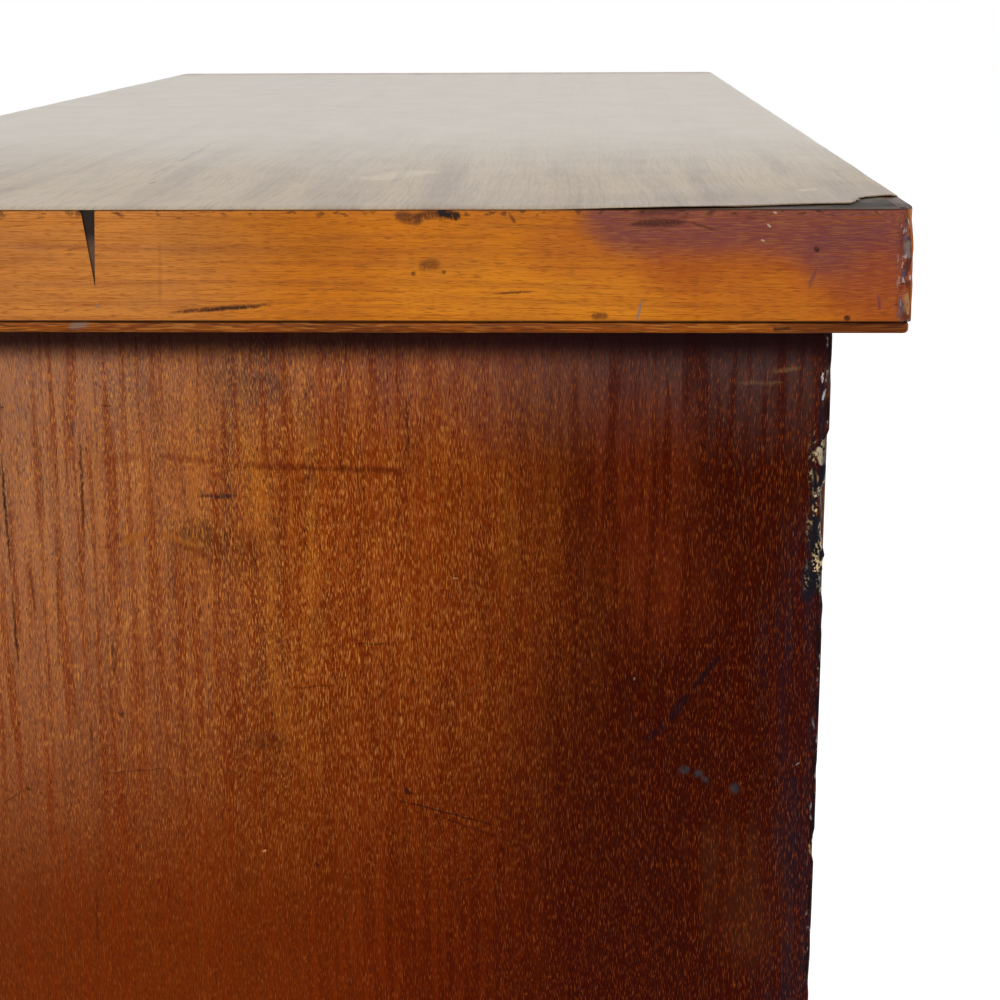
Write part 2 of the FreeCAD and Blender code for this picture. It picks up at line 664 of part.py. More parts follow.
DRAWERS = [
    {"name": "top_left_drawer", "x": -SHORT_CENTRE, "level": SHORT_Z, "opening": SHORT_OPENING,
     "width": SHORT_WIDTH, "long": False},
    {"name": "top_right_drawer", "x": SHORT_CENTRE, "level": SHORT_Z, "opening": SHORT_OPENING,
     "width": SHORT_WIDTH, "long": False},
    {"name": "upper_drawer", "x": 0.0, "level": UPPER_Z, "opening": UPPER_OPENING,
     "width": 2 * INNER_X, "long": True},
    {"name": "middle_drawer", "x": 0.0, "level": MIDDLE_Z, "opening": MIDDLE_OPENING,
     "width": 2 * INNER_X, "long": True},
    {"name": "lower_drawer", "x": 0.0, "level": LOWER_Z, "opening": LOWER_OPENING,
     "width": 2 * INNER_X, "long": True},
]


def dovetails(y_root, y_tip, z_pair, x_pair):
    """Tails that widen from their root to their tip, evenly spaced up a corner."""
    count = max(2, int((z_pair[1] - z_pair[0]) / TAIL_PITCH + 0.5))
    pitch = (z_pair[1] - z_pair[0]) / count
    tip_half = (pitch - PIN_TIP) / 2
    root_half = tip_half - abs(y_tip - y_root) * TAIL_SLOPE
    tails = []
    for index in range(count):
        middle = z_pair[0] + pitch * (index + 0.5)
        outline = [(y_root, middle - root_half), (y_tip, middle - tip_half),
                   (y_tip, middle + tip_half), (y_root, middle + root_half)]
        tails.append(prism_yz(outline, x_pair))
    return tails


def keyhole(y_pair, centre_x, centre_z, margin):
    """A keyhole, round above and slotted below, grown all round by a margin and run along Y."""
    radius = KEYHOLE_RADIUS + margin
    half = KEYHOLE_SLOT / 2 + margin
    foot_z = centre_z - KEYHOLE_LENGTH - margin
    start = -90 + math.degrees(math.asin(half / radius))
    step = (180 - 2 * start) / KEYHOLE_FLAT_COUNT
    outline = [(centre_x + half, foot_z)]
    for index in range(KEYHOLE_FLAT_COUNT + 1):
        outline.append(point_on_circle((centre_x, centre_z), radius, start + step * index))
    outline.append((centre_x - half, foot_z))
    return prism_xz(outline, y_pair)


def lock_recess(centre_x, top_z):
    """The space that the lock takes out of the drawer front, from its back and its upper edge."""
    half = LOCK_WIDTH / 2
    case_half = half - CASE_MARGIN
    plate_x = (centre_x - half, centre_x + half)
    plate = block(plate_x, (CASE_BACK_Y, FRONT_BACK_Y), (top_z - LOCK_HEIGHT, top_z))
    selvedge = block(plate_x, (FRONT_BACK_Y - SELVEDGE_DEPTH, FRONT_BACK_Y),
                     (top_z - SELVEDGE_THICKNESS, top_z))
    case = block((centre_x - case_half, centre_x + case_half), (CASE_FRONT_Y, CASE_BACK_Y),
                 (top_z - LOCK_HEIGHT + CASE_MARGIN, top_z))
    return union([plate, selvedge, case])


def make_lock(drawer, top_z):
    """Brass lock case with its selvedge, hollow for the bolt, and the inset keyhole escutcheon."""
    centre_x = drawer["x"]
    key_z = top_z - KEYHOLE_DROP
    case_half = LOCK_WIDTH / 2 - CASE_MARGIN - CASE_WALL
    inside = block((centre_x - case_half, centre_x + case_half), (CASE_FRONT_Y + CASE_WALL, CASE_BACK_Y),
                   (top_z - LOCK_HEIGHT + CASE_MARGIN + CASE_WALL, top_z - SELVEDGE_THICKNESS))
    slot_half = BOLT_WIDTH / 2 + BOLT_GAP
    slot = block((centre_x - slot_half, centre_x + slot_half), (BOLT_Y[0] - BOLT_GAP, BOLT_Y[1] + BOLT_GAP),
                 (top_z - SELVEDGE_THICKNESS, top_z))
    case = lock_recess(centre_x, top_z).cut([inside, slot])
    case = case.cut(keyhole((CASE_FRONT_Y, CASE_FRONT_Y + CASE_WALL), centre_x, key_z, 0))
    pin = towards_front(turned([(KEY_PIN_RADIUS, -CASE_DEPTH), (KEY_PIN_RADIUS, 0)], KEYHOLE_FLAT_COUNT))
    case = union([case, pin.translated(FreeCAD.Vector(centre_x, CASE_FRONT_Y, key_z))])
    rim_y = (FRONT_Y, FRONT_Y + ESCUTCHEON_DEPTH)
    rim = keyhole(rim_y, centre_x, key_z, ESCUTCHEON_RIM).cut(keyhole(rim_y, centre_x, key_z, 0))
    write_node(drawer["name"] + "_lock", [case, rim])

    # The bolt is a plate with a talon notch in its foot, where the key catches and lifts it
    half = BOLT_WIDTH / 2
    bolt = block((centre_x - half, centre_x + half), BOLT_Y, (top_z - BOLT_HEIGHT, top_z))
    talon = KEYHOLE_RADIUS + KEY_PIN_RADIUS
    notch = block((centre_x - talon, centre_x + talon), BOLT_Y, (key_z - talon, key_z + talon))
    write_node(drawer["name"] + "_bolt", [bolt.cut(notch)])


def knob_solid():
    """A turned knob with its shank: spigot, base ring, waisted neck and oval head. Axis is +Z."""
    rim_z = KNOB_REACH - KNOB_DOME_HEIGHT
    cove_z = KNOB_BASE_HEIGHT + KNOB_NECK_HEIGHT
    upper_half = KNOB_DOME_HEIGHT / math.sin(math.radians(KNOB_CROWN_ANGLE))
    lower_half = (rim_z - cove_z) / math.sin(math.radians(KNOB_CROWN_ANGLE))
    spigot_end = -(FRONT_THICKNESS - SPIGOT_RECESS)
    profile = [(SPIGOT_RADIUS, spigot_end),
               (SPIGOT_RADIUS, 0),
               (KNOB_BASE_RADIUS, 0),
               (KNOB_BASE_RADIUS, KNOB_BASE_HEIGHT / 2),
               ((KNOB_BASE_RADIUS + KNOB_NECK_RADIUS) / 2, KNOB_BASE_HEIGHT),
               (KNOB_NECK_RADIUS, KNOB_BASE_HEIGHT + KNOB_NECK_HEIGHT / 2),
               (KNOB_NECK_RADIUS + KNOB_NECK_FLARE, cove_z)]
    profile += oval_points(rim_z, KNOB_RADIUS, lower_half, [-KNOB_CROWN_ANGLE / 2, 0])
    profile += oval_points(rim_z, KNOB_RADIUS, upper_half, [KNOB_CROWN_ANGLE / 2, KNOB_CROWN_ANGLE])
    return turned(profile, KNOB_FLAT_COUNT)


def make_drawer(drawer):
    """One drawer: lapped dovetails at the front, through dovetails at the back, and what it carries."""
    name = drawer["name"]
    half = drawer["width"] / 2 - DRAWER_SIDE_GAP
    low_x = drawer["x"] - half
    high_x = drawer["x"] + half
    low_z = drawer["level"] + RUNNING_GAP
    high_z = drawer["level"] + drawer["opening"] - DRAWER_TOP_GAP
    side_top = high_z - SIDE_DROP
    back_top = high_z - BACK_DROP
    panel_z = (low_z + PANEL_LIFT, low_z + PANEL_LIFT + PANEL_THICKNESS)
    left_x = (low_x, low_x + DRAWER_SIDE_THICKNESS)
    right_x = (high_x - DRAWER_SIDE_THICKNESS, high_x)
    lap_y = FRONT_Y + LAP_THICKNESS
    back_y = DRAWER_END_Y - DRAWER_BACK_THICKNESS
    inner = (left_x[1], right_x[0])

    front = block((low_x, high_x), (FRONT_Y, FRONT_BACK_Y), (low_z, high_z))
    back_parts = [block(inner, (back_y, DRAWER_END_Y), (panel_z[1], back_top))]
    sides = []
    for x_pair, inward in ((left_x, 1), (right_x, -1)):
        front_tails = dovetails(FRONT_BACK_Y, lap_y, (low_z + HALF_PIN, side_top - HALF_PIN), x_pair)
        back_tails = dovetails(back_y, DRAWER_END_Y, (panel_z[1], back_top), x_pair)
        front_pins = block(x_pair, (lap_y, FRONT_BACK_Y), (low_z, side_top)).cut(front_tails)
        back_pins = block(x_pair, (back_y, DRAWER_END_Y), (panel_z[1], back_top)).cut(back_tails)
        side = block(x_pair, (lap_y, DRAWER_END_Y), (low_z, side_top)).cut([front_pins, back_pins])
        inner_x = x_pair[1] if inward == 1 else x_pair[0]
        groove_x = sorted((inner_x, inner_x - inward * PANEL_GROOVE))
        side = side.cut(block(groove_x, (lap_y, DRAWER_END_Y), panel_z))
        sides.append(side)
        front = front.cut(front_tails)
        back_parts.append(back_pins)
    back = union(back_parts)

    # The bottom slides in from behind, in grooves in the sides and the front
    front = front.cut(block(inner, (FRONT_BACK_Y - FRONT_GROOVE, FRONT_BACK_Y), panel_z))
    panel_x = (inner[0] - PANEL_GROOVE + GROOVE_SLACK, inner[1] + PANEL_GROOVE - GROOVE_SLACK)
    panel_y = (FRONT_BACK_Y - FRONT_GROOVE + GROOVE_SLACK, DRAWER_END_Y)
    bottoms = [block(panel_x, panel_y, panel_z)]
    if drawer["long"]:
        middle = drawer["x"]
        lip_x = (middle - MUNTIN_WIDTH / 2, middle + MUNTIN_WIDTH / 2)
        lip_y = (FRONT_BACK_Y, DRAWER_END_Y)
        edge = MUNTIN_WIDTH / 2 - PANEL_GROOVE
        web = block((middle - edge, middle + edge), panel_y, panel_z)
        lip = block(lip_x, lip_y, (panel_z[1], panel_z[1] + MUNTIN_LIP))
        foot = block(lip_x, lip_y, (panel_z[0] - MUNTIN_LIP, panel_z[0]))
        bottoms = [block((panel_x[0], middle - edge), panel_y, panel_z),
                   union([web, lip, foot]),
                   block((middle + edge, panel_x[1]), panel_y, panel_z)]
        back = back.cut(lip)
    write_node(name + "_bottom", bottoms)
    write_node(name + "_sides", sides)
    write_node(name + "_back", [back])

    # Cockbeads lie in rebates round the face and stand proud of it with a rounded nose
    strips = cockbeads((low_x, high_x), (low_z, high_z))
    rebate_y = (FRONT_Y, lap_y)
    bead = COCKBEAD_THICKNESS
    window = block((low_x + bead, high_x - bead), rebate_y, (low_z + bead, high_z - bead))
    front = front.cut(block((low_x, high_x), rebate_y, (low_z, high_z)).cut(window))
    write_node(name + "_cockbeads", strips)

    front = front.cut(lock_recess(drawer["x"], high_z))
    key_z = high_z - KEYHOLE_DROP
    front = front.cut(keyhole((FRONT_Y, CASE_FRONT_Y), drawer["x"], key_z, 0))
    front = front.cut(keyhole((FRONT_Y, FRONT_Y + ESCUTCHEON_DEPTH), drawer["x"], key_z, ESCUTCHEON_RIM))
    make_lock(drawer, high_z)

    knob = towards_front(knob_solid())
    bore_radius = SPIGOT_RADIUS + SPIGOT_GAP
    bore = towards_front(turned([(bore_radius, -FRONT_THICKNESS), (bore_radius, 0)], KNOB_FLAT_COUNT))
    knob_z = (low_z + high_z) / 2
    spread = drawer["width"] / 2 - KNOB_INSET
    places = [drawer["x"] - spread, drawer["x"] + spread] if drawer["long"] else [drawer["x"]]
    knobs = []
    for x in places:
        front = front.cut(bore.translated(FreeCAD.Vector(x, FRONT_Y, knob_z)))
        knobs.append(knob.translated(FreeCAD.Vector(x, FRONT_Y, knob_z)))
    write_node(name + "_knobs", knobs)
    write_node(name + "_front", [front])


def cockbeads(x_pair, z_pair):
    """Four mitred strips with rounded noses, round the edges of a drawer front."""
    thick = COCKBEAD_THICKNESS
    back_y = FRONT_Y + LAP_THICKNESS
    nose_y = FRONT_Y - COCKBEAD_PROUD
    shoulder_y = nose_y + thick / 2
    half = thick / 2
    # The rounded nose is drawn in three flats
    section = [(back_y, 0), (shoulder_y, 0), (nose_y, half / 2),
               (nose_y, thick - half / 2), (shoulder_y, thick), (back_y, thick)]
    left = prism_xy([(x_pair[0] + across, y) for y, across in section], z_pair)
    low = prism_yz([(y, z_pair[0] + across) for y, across in section], x_pair)
    middle_x = (x_pair[0] + x_pair[1]) / 2
    middle_z = (z_pair[0] + z_pair[1]) / 2
    # The mitre zone of the left strip: a trapezium that narrows by a strip's thickness at each end
    points = [(x_pair[0], z_pair[0]), (x_pair[0] + thick, z_pair[0] + thick),
              (x_pair[0] + thick, z_pair[1] - thick), (x_pair[0], z_pair[1])]
    left = left.common(prism_xz(points, (nose_y, back_y)))
    right = left.mirror(FreeCAD.Vector(middle_x, 0, 0), X_AXIS)
    points = [(x_pair[0], z_pair[0]), (x_pair[1], z_pair[0]),
              (x_pair[1] - thick, z_pair[0] + thick), (x_pair[0] + thick, z_pair[0] + thick)]
    low = low.common(prism_xz(points, (nose_y, back_y)))
    high = low.mirror(FreeCAD.Vector(0, 0, middle_z), Z_AXIS)
    return [left, right, low, high]


os.makedirs("parts", exist_ok=True)
make_top()
make_sides()
make_rails()
make_runners()
make_stops()
make_bottom_and_back()
make_plinth()
make_blocks()
make_feet()
for one_drawer in DRAWERS:
    make_drawer(one_drawer)
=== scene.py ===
"""The woods, wear and fittings of an antique mahogany chest of drawers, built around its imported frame."""

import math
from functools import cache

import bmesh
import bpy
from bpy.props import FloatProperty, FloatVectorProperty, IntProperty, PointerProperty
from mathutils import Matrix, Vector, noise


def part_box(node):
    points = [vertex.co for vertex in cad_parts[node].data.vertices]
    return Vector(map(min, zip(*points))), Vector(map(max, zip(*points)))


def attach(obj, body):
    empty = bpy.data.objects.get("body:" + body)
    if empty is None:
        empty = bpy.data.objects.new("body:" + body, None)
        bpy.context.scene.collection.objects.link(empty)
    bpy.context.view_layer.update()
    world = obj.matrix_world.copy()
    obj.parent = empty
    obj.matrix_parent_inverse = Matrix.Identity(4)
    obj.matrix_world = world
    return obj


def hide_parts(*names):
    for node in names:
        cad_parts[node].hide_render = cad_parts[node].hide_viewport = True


bl_info = {
    "name": "Antique Chest of Drawers",
    "version": (1, 0, 0),
    "blender": (4, 5, 0),
    "location": "View3D > Sidebar > Chest",
    "description": "Dresses the frame of a mahogany chest in worn timber, polish and brass",
    "category": "Add Mesh",
}

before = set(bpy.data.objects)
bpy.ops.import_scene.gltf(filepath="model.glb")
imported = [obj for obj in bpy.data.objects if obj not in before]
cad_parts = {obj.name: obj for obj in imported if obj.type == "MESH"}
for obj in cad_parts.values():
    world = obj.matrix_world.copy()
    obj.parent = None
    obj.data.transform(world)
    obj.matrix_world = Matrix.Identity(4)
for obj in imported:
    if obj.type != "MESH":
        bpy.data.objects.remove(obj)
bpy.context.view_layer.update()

MM = 0.001
TOP_CORNER_RADIUS = 0.0035
DRAWERS = ("top_left_drawer", "top_right_drawer", "upper_drawer", "middle_drawer", "lower_drawer")

# Boxes of the frame's pieces that the visible surfaces are placed by, in metres
VENEER_LOW, VENEER_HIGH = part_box("top_veneer")
EDGE_LOW, EDGE_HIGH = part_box("top_edge_left")
BEAD_LOW, BEAD_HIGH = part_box("top_beads")
SIDE_LOW, SIDE_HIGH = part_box("side_left")
BACK_LOW, BACK_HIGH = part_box("back_boards")
PLINTH_LOW, PLINTH_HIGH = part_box("plinth")
CORE_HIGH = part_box("top_core")[1]
FOOT_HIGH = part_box("bun_feet")[1]

# The reference view: a 72 mm lens on a 36 mm wide sensor, placed from the top's front left corner
LENS = 72.0
SENSOR = 36.0
IMAGE_SIZE = 1000.0
CAMERA_FROM_CORNER = Vector((-0.7437, 0.1248, 0.0803))
CAMERA_PITCH = math.radians(14.42)
CAMERA_YAW = math.radians(2.26)
CAMERA_ROLL = math.radians(-0.30)
CORNER = Vector((EDGE_LOW.x, VENEER_LOW.y, EDGE_HIGH.z))
CAMERA_PLACE = CORNER + CAMERA_FROM_CORNER


def camera_axes():
    """The reference camera's right, up and forward directions."""
    forward = Vector((math.cos(CAMERA_YAW) * math.cos(CAMERA_PITCH),
                      math.sin(CAMERA_YAW) * math.cos(CAMERA_PITCH),
                      -math.sin(CAMERA_PITCH)))
    level = Vector((math.sin(CAMERA_YAW), -math.cos(CAMERA_YAW), 0))
    upright = level.cross(forward)
    right = math.cos(CAMERA_ROLL) * level + math.sin(CAMERA_ROLL) * upright
    up = -math.sin(CAMERA_ROLL) * level + math.cos(CAMERA_ROLL) * upright
    return right, up, forward


def seen_at(pixel, axis, level):
    """The point of the plane axis = level that the reference view shows at a pixel."""
    right, up, forward = camera_axes()
    reach = IMAGE_SIZE * LENS / SENSOR
    half = IMAGE_SIZE / 2
    ray = forward + right * ((pixel[0] - half) / reach) - up * ((pixel[1] - half) / reach)
    return CAMERA_PLACE + ray * ((level - CAMERA_PLACE[axis]) / ray[axis])


def linear(colour):
    """An sRGB colour written as six hex digits, made linear; a linear colour stays as it is."""
    if not isinstance(colour, str):
        return colour
    channels = []
    for start in (0, 2, 4):
        value = int(colour[start:start + 2], 16) / 255
        channels.append(value / 12.92 if value <= 0.04045 else ((value + 0.055) / 1.055) ** 2.4)
    return (*channels, 1.0)


def colour_prop(name, description, hex_colour):
    """A colour that the sidebar shows, with its default written in hex."""
    return FloatVectorProperty(name=name, description=description, subtype="COLOR", size=4,
                               min=0.0, max=1.0, default=linear(hex_colour))


class ChestSizes(bpy.types.PropertyGroup):
    """Sizes of the wear and the small fittings."""
    arris_wear: FloatProperty(name="Arris wear", default=0.0011, unit="LENGTH",
                              description="Radius to which the edges of the boards have worn")
    arris_chips: FloatProperty(name="Arris chips", default=0.0012, unit="LENGTH",
                               description="How deep the knocks along the worn edges go")
    rim_fall: FloatProperty(name="Rim fall", default=0.0008, unit="LENGTH",
                            description="How far the veneer has worn down along its rim")
    veneer_lift: FloatProperty(name="Veneer lift", default=0.0007, unit="LENGTH",
                               description="Gap under the veneer where it has come loose at the lost corner")
    nail_radius: FloatProperty(name="Nail radius", default=0.0024, unit="LENGTH",
                               description="Radius of the cut nails' heads in the back boards")
    screw_radius: FloatProperty(name="Screw radius", default=0.0021, unit="LENGTH",
                                description="Radius of the lock screws' heads")
    turning_steps: IntProperty(name="Turning steps", default=64, min=12, max=160,
                               description="Steps round each turned knob and foot")


class ChestColours(bpy.types.PropertyGroup):
    """Colours of the finishes."""
    board_light: colour_prop("Board, light", "Faded mahogany high on the side boards", "9c5624")
    board_middle: colour_prop("Board, middle", "Polished mahogany of the side boards", "8a4011")
    board_dark: colour_prop("Board, dark", "Darkest bands of the side boards", "6b2c0c")
    facing_light: colour_prop("Edge, light", "Golden wood of the top's edge facings", "bb6a12")
    facing_dark: colour_prop("Edge, dark", "Brown bands of the top's edge facings", "9c5212")
    top_light: colour_prop("Top, light", "Bleached parts of the top's veneer", "a48b68")
    top_dark: colour_prop("Top, dark", "Brown parts of the top's veneer", "836748")
    flame_light: colour_prop("Fronts, light", "Bright plumes of the drawer fronts", "8c3a0b")
    flame_dark: colour_prop("Fronts, dark", "Dark ground of the drawer fronts", "3d1206")
    turned: colour_prop("Turned wood", "Knobs, feet and cockbeads", "5a2712")
    oak: colour_prop("Oak", "Drawer sides and backs", "a88457")
    deal: colour_prop("Deal", "Drawer bottoms, back boards and runners", "b08a58")
    brass: colour_prop("Brass", "Locks, bolts and escutcheons", "b9944f")


def add(tree, kind, sockets=None, **settings):
    """Add a node, apply its settings, then give each named socket a value, or a link from a socket or
    from another node's first output."""
    node = tree.nodes.new(kind)
    for name, value in settings.items():
        setattr(node, name, value)
    for key, value in (sockets or {}).items():
        socket = node.inputs[key]
        if isinstance(value, bpy.types.Node):
            value = value.outputs[0]
        if isinstance(value, bpy.types.NodeSocket):
            tree.links.new(value, socket)
        else:
            socket.default_value = value
    return node


# Places of the colour sockets on a mix node, which share their names with its other sockets
MIX_FACTOR, MIX_A, MIX_B, MIX_OUT = 0, 6, 7, 2


def layer(tree, under, colour, mask):
    """The colour under, changed towards another colour by a mask."""
    return add(tree, "ShaderNodeMix", {MIX_FACTOR: mask, MIX_A: under, MIX_B: colour},
               data_type="RGBA").outputs[MIX_OUT]


def empty_material(name):
    """A new material with no nodes in it yet, and its tree."""
    material = bpy.data.materials.new(name)
    material.use_nodes = True
    material.node_tree.nodes.clear()
    return material, material.node_tree


def linked(name, data):
    """A new object in the scene's collection."""
    thing = bpy.data.objects.new(name, data)
    bpy.context.scene.collection.objects.link(thing)
    return thing


def new_group(name, kind, inputs, outputs):
    """An empty node group with its sockets, its input node and its output node."""
    group = bpy.data.node_groups.new(name, kind)
    for label, socket_type, default in inputs:
        socket = group.interface.new_socket(label, in_out="INPUT", socket_type=socket_type)
        if default is not None:
            socket.default_value = default
    for label, socket_type in outputs:
        group.interface.new_socket(label, in_out="OUTPUT", socket_type=socket_type)
    return group, group.nodes.new("NodeGroupInput"), group.nodes.new("NodeGroupOutput")


GRAIN_LAYERS = ("Figure", "Fibre", "Flecks", "Pores")
GRAIN_DETAIL = (3.0, 2.0, 0.0, 1.0)
# The grain wanders over about a hand's width across the board and twice that along it
WANDER_SIZE = (110, 110, 230)
# How far apart the layers' noises are taken, so that none repeats another
LAYER_STEP = 17.0


@cache
def grain_group():
    """Four stretched noises that wander together: figure, fibre, pale flecks and dark pores."""
    inputs = [("Vector", "NodeSocketVector", None), ("Wander", "NodeSocketFloat", 4.0)]
    inputs += [(label + " size", "NodeSocketVector", (1, 1, 8)) for label in GRAIN_LAYERS]
    group, given, result = new_group("Wood grain", "ShaderNodeTree", inputs,
                                     [(label, "NodeSocketFloat") for label in GRAIN_LAYERS])
    slow = add(group, "ShaderNodeVectorMath", {0: given.outputs["Vector"], 1: WANDER_SIZE},
               operation="DIVIDE")
    drift = add(group, "ShaderNodeTexNoise", {"Vector": slow, "Scale": 1.0, "Detail": 1.0})
    centred = add(group, "ShaderNodeVectorMath", {0: drift.outputs["Color"], 1: (0.5, 0.5, 0.5)},
                  operation="SUBTRACT")
    offset = add(group, "ShaderNodeVectorMath", {0: centred, "Scale": given.outputs["Wander"]},
                 operation="SCALE")
    wandered = add(group, "ShaderNodeVectorMath", {0: given.outputs["Vector"], 1: offset},
                   operation="ADD")
    for index, (label, detail) in enumerate(zip(GRAIN_LAYERS, GRAIN_DETAIL)):
        divided = add(group, "ShaderNodeVectorMath",
                      {0: wandered, 1: given.outputs[label + " size"]},
                      operation="DIVIDE")
        moved = add(group, "ShaderNodeVectorMath", {0: divided, 1: (LAYER_STEP * index,) * 3},
                    operation="ADD")
        pattern = add(group, "ShaderNodeTexNoise", {"Vector": moved, "Scale": 1.0, "Detail": detail})
        group.links.new(pattern.outputs[0], result.inputs[label])
    return group


@cache
def mark_group():
    """The mask of one scratch, stain or chip: a line with round ends, a width and a soft edge."""
    group, given, result = new_group(
        "Mark", "ShaderNodeTree",
        [("Vector", "NodeSocketVector", None), ("From", "NodeSocketVector", None),
         ("Along", "NodeSocketVector", None), ("Share", "NodeSocketVector", None),
         ("Inner", "NodeSocketFloat", 0.3), ("Outer", "NodeSocketFloat", 1.0),
         ("Taper", "NodeSocketFloat", 0.0), ("Strength", "NodeSocketFloat", 1.0)],
        [("Mask", "NodeSocketFloat")])
    start = add(group, "ShaderNodeVectorMath", {0: given.outputs["Vector"], 1: given.outputs["From"]},
                operation="SUBTRACT")
    share = add(group, "ShaderNodeVectorMath", {0: start, 1: given.outputs["Share"]},
                operation="DOT_PRODUCT")
    held = add(group, "ShaderNodeClamp", {"Value": share.outputs["Value"]})
    nearest = add(group, "ShaderNodeVectorMath", {0: given.outputs["Along"], "Scale": held},
                  operation="SCALE")
    apart = add(group, "ShaderNodeVectorMath", {0: start, 1: nearest}, operation="DISTANCE")
    from_middle = add(group, "ShaderNodeMath", {0: held, 1: 2.0, 2: -1.0}, operation="MULTIPLY_ADD")
    ends = add(group, "ShaderNodeMath", {0: from_middle, 1: 4.0}, operation="POWER")
    narrowed = add(group, "ShaderNodeMath",
                   {0: ends, 1: given.outputs["Taper"], 2: apart.outputs["Value"]},
                   operation="MULTIPLY_ADD")
    mask = add(group, "ShaderNodeMapRange",
               {"Value": narrowed, "From Min": given.outputs["Outer"],
                "From Max": given.outputs["Inner"], "To Min": 0.0, "To Max": given.outputs["Strength"]},
               interpolation_type="SMOOTHSTEP")
    group.links.new(mask.outputs[0], result.inputs["Mask"])
    return group


# Turns that bring a board's grain, along X, Y or Z, onto the group's Z
GRAIN_TURN = {"x": (0, math.radians(-90), 0), "y": (math.radians(90), 0, 0), "z": (0, 0, 0)}

MARK_COLOURS = {
    "black": "120c0c", "ink": "0c0a12", "blue black": "14161f", "slate": "2c3438", "grey": "6f6660",
    "white": "efece6", "pale": "d8c6a4", "bloom": "b0a8a4", "haze": "a67a5e", "tan": "b98a5a",
    "honey": "cf7f1c", "gold": "b9701f", "copper": "94450f", "russet": "8c3c1a", "rust": "8a3004",
    "red": "7d2c10", "red glaze": "8c2c12", "figure red": "5e1c08", "foot red": "4b1000", "wine": "2c0904",
    "umber": "4a2412", "grime": "3a1c0c", "dark": "2b120c", "purple": "64343a",
}

# Metres to millimetres, as a scale on each axis
TO_MM = (1000, 1000, 1000)


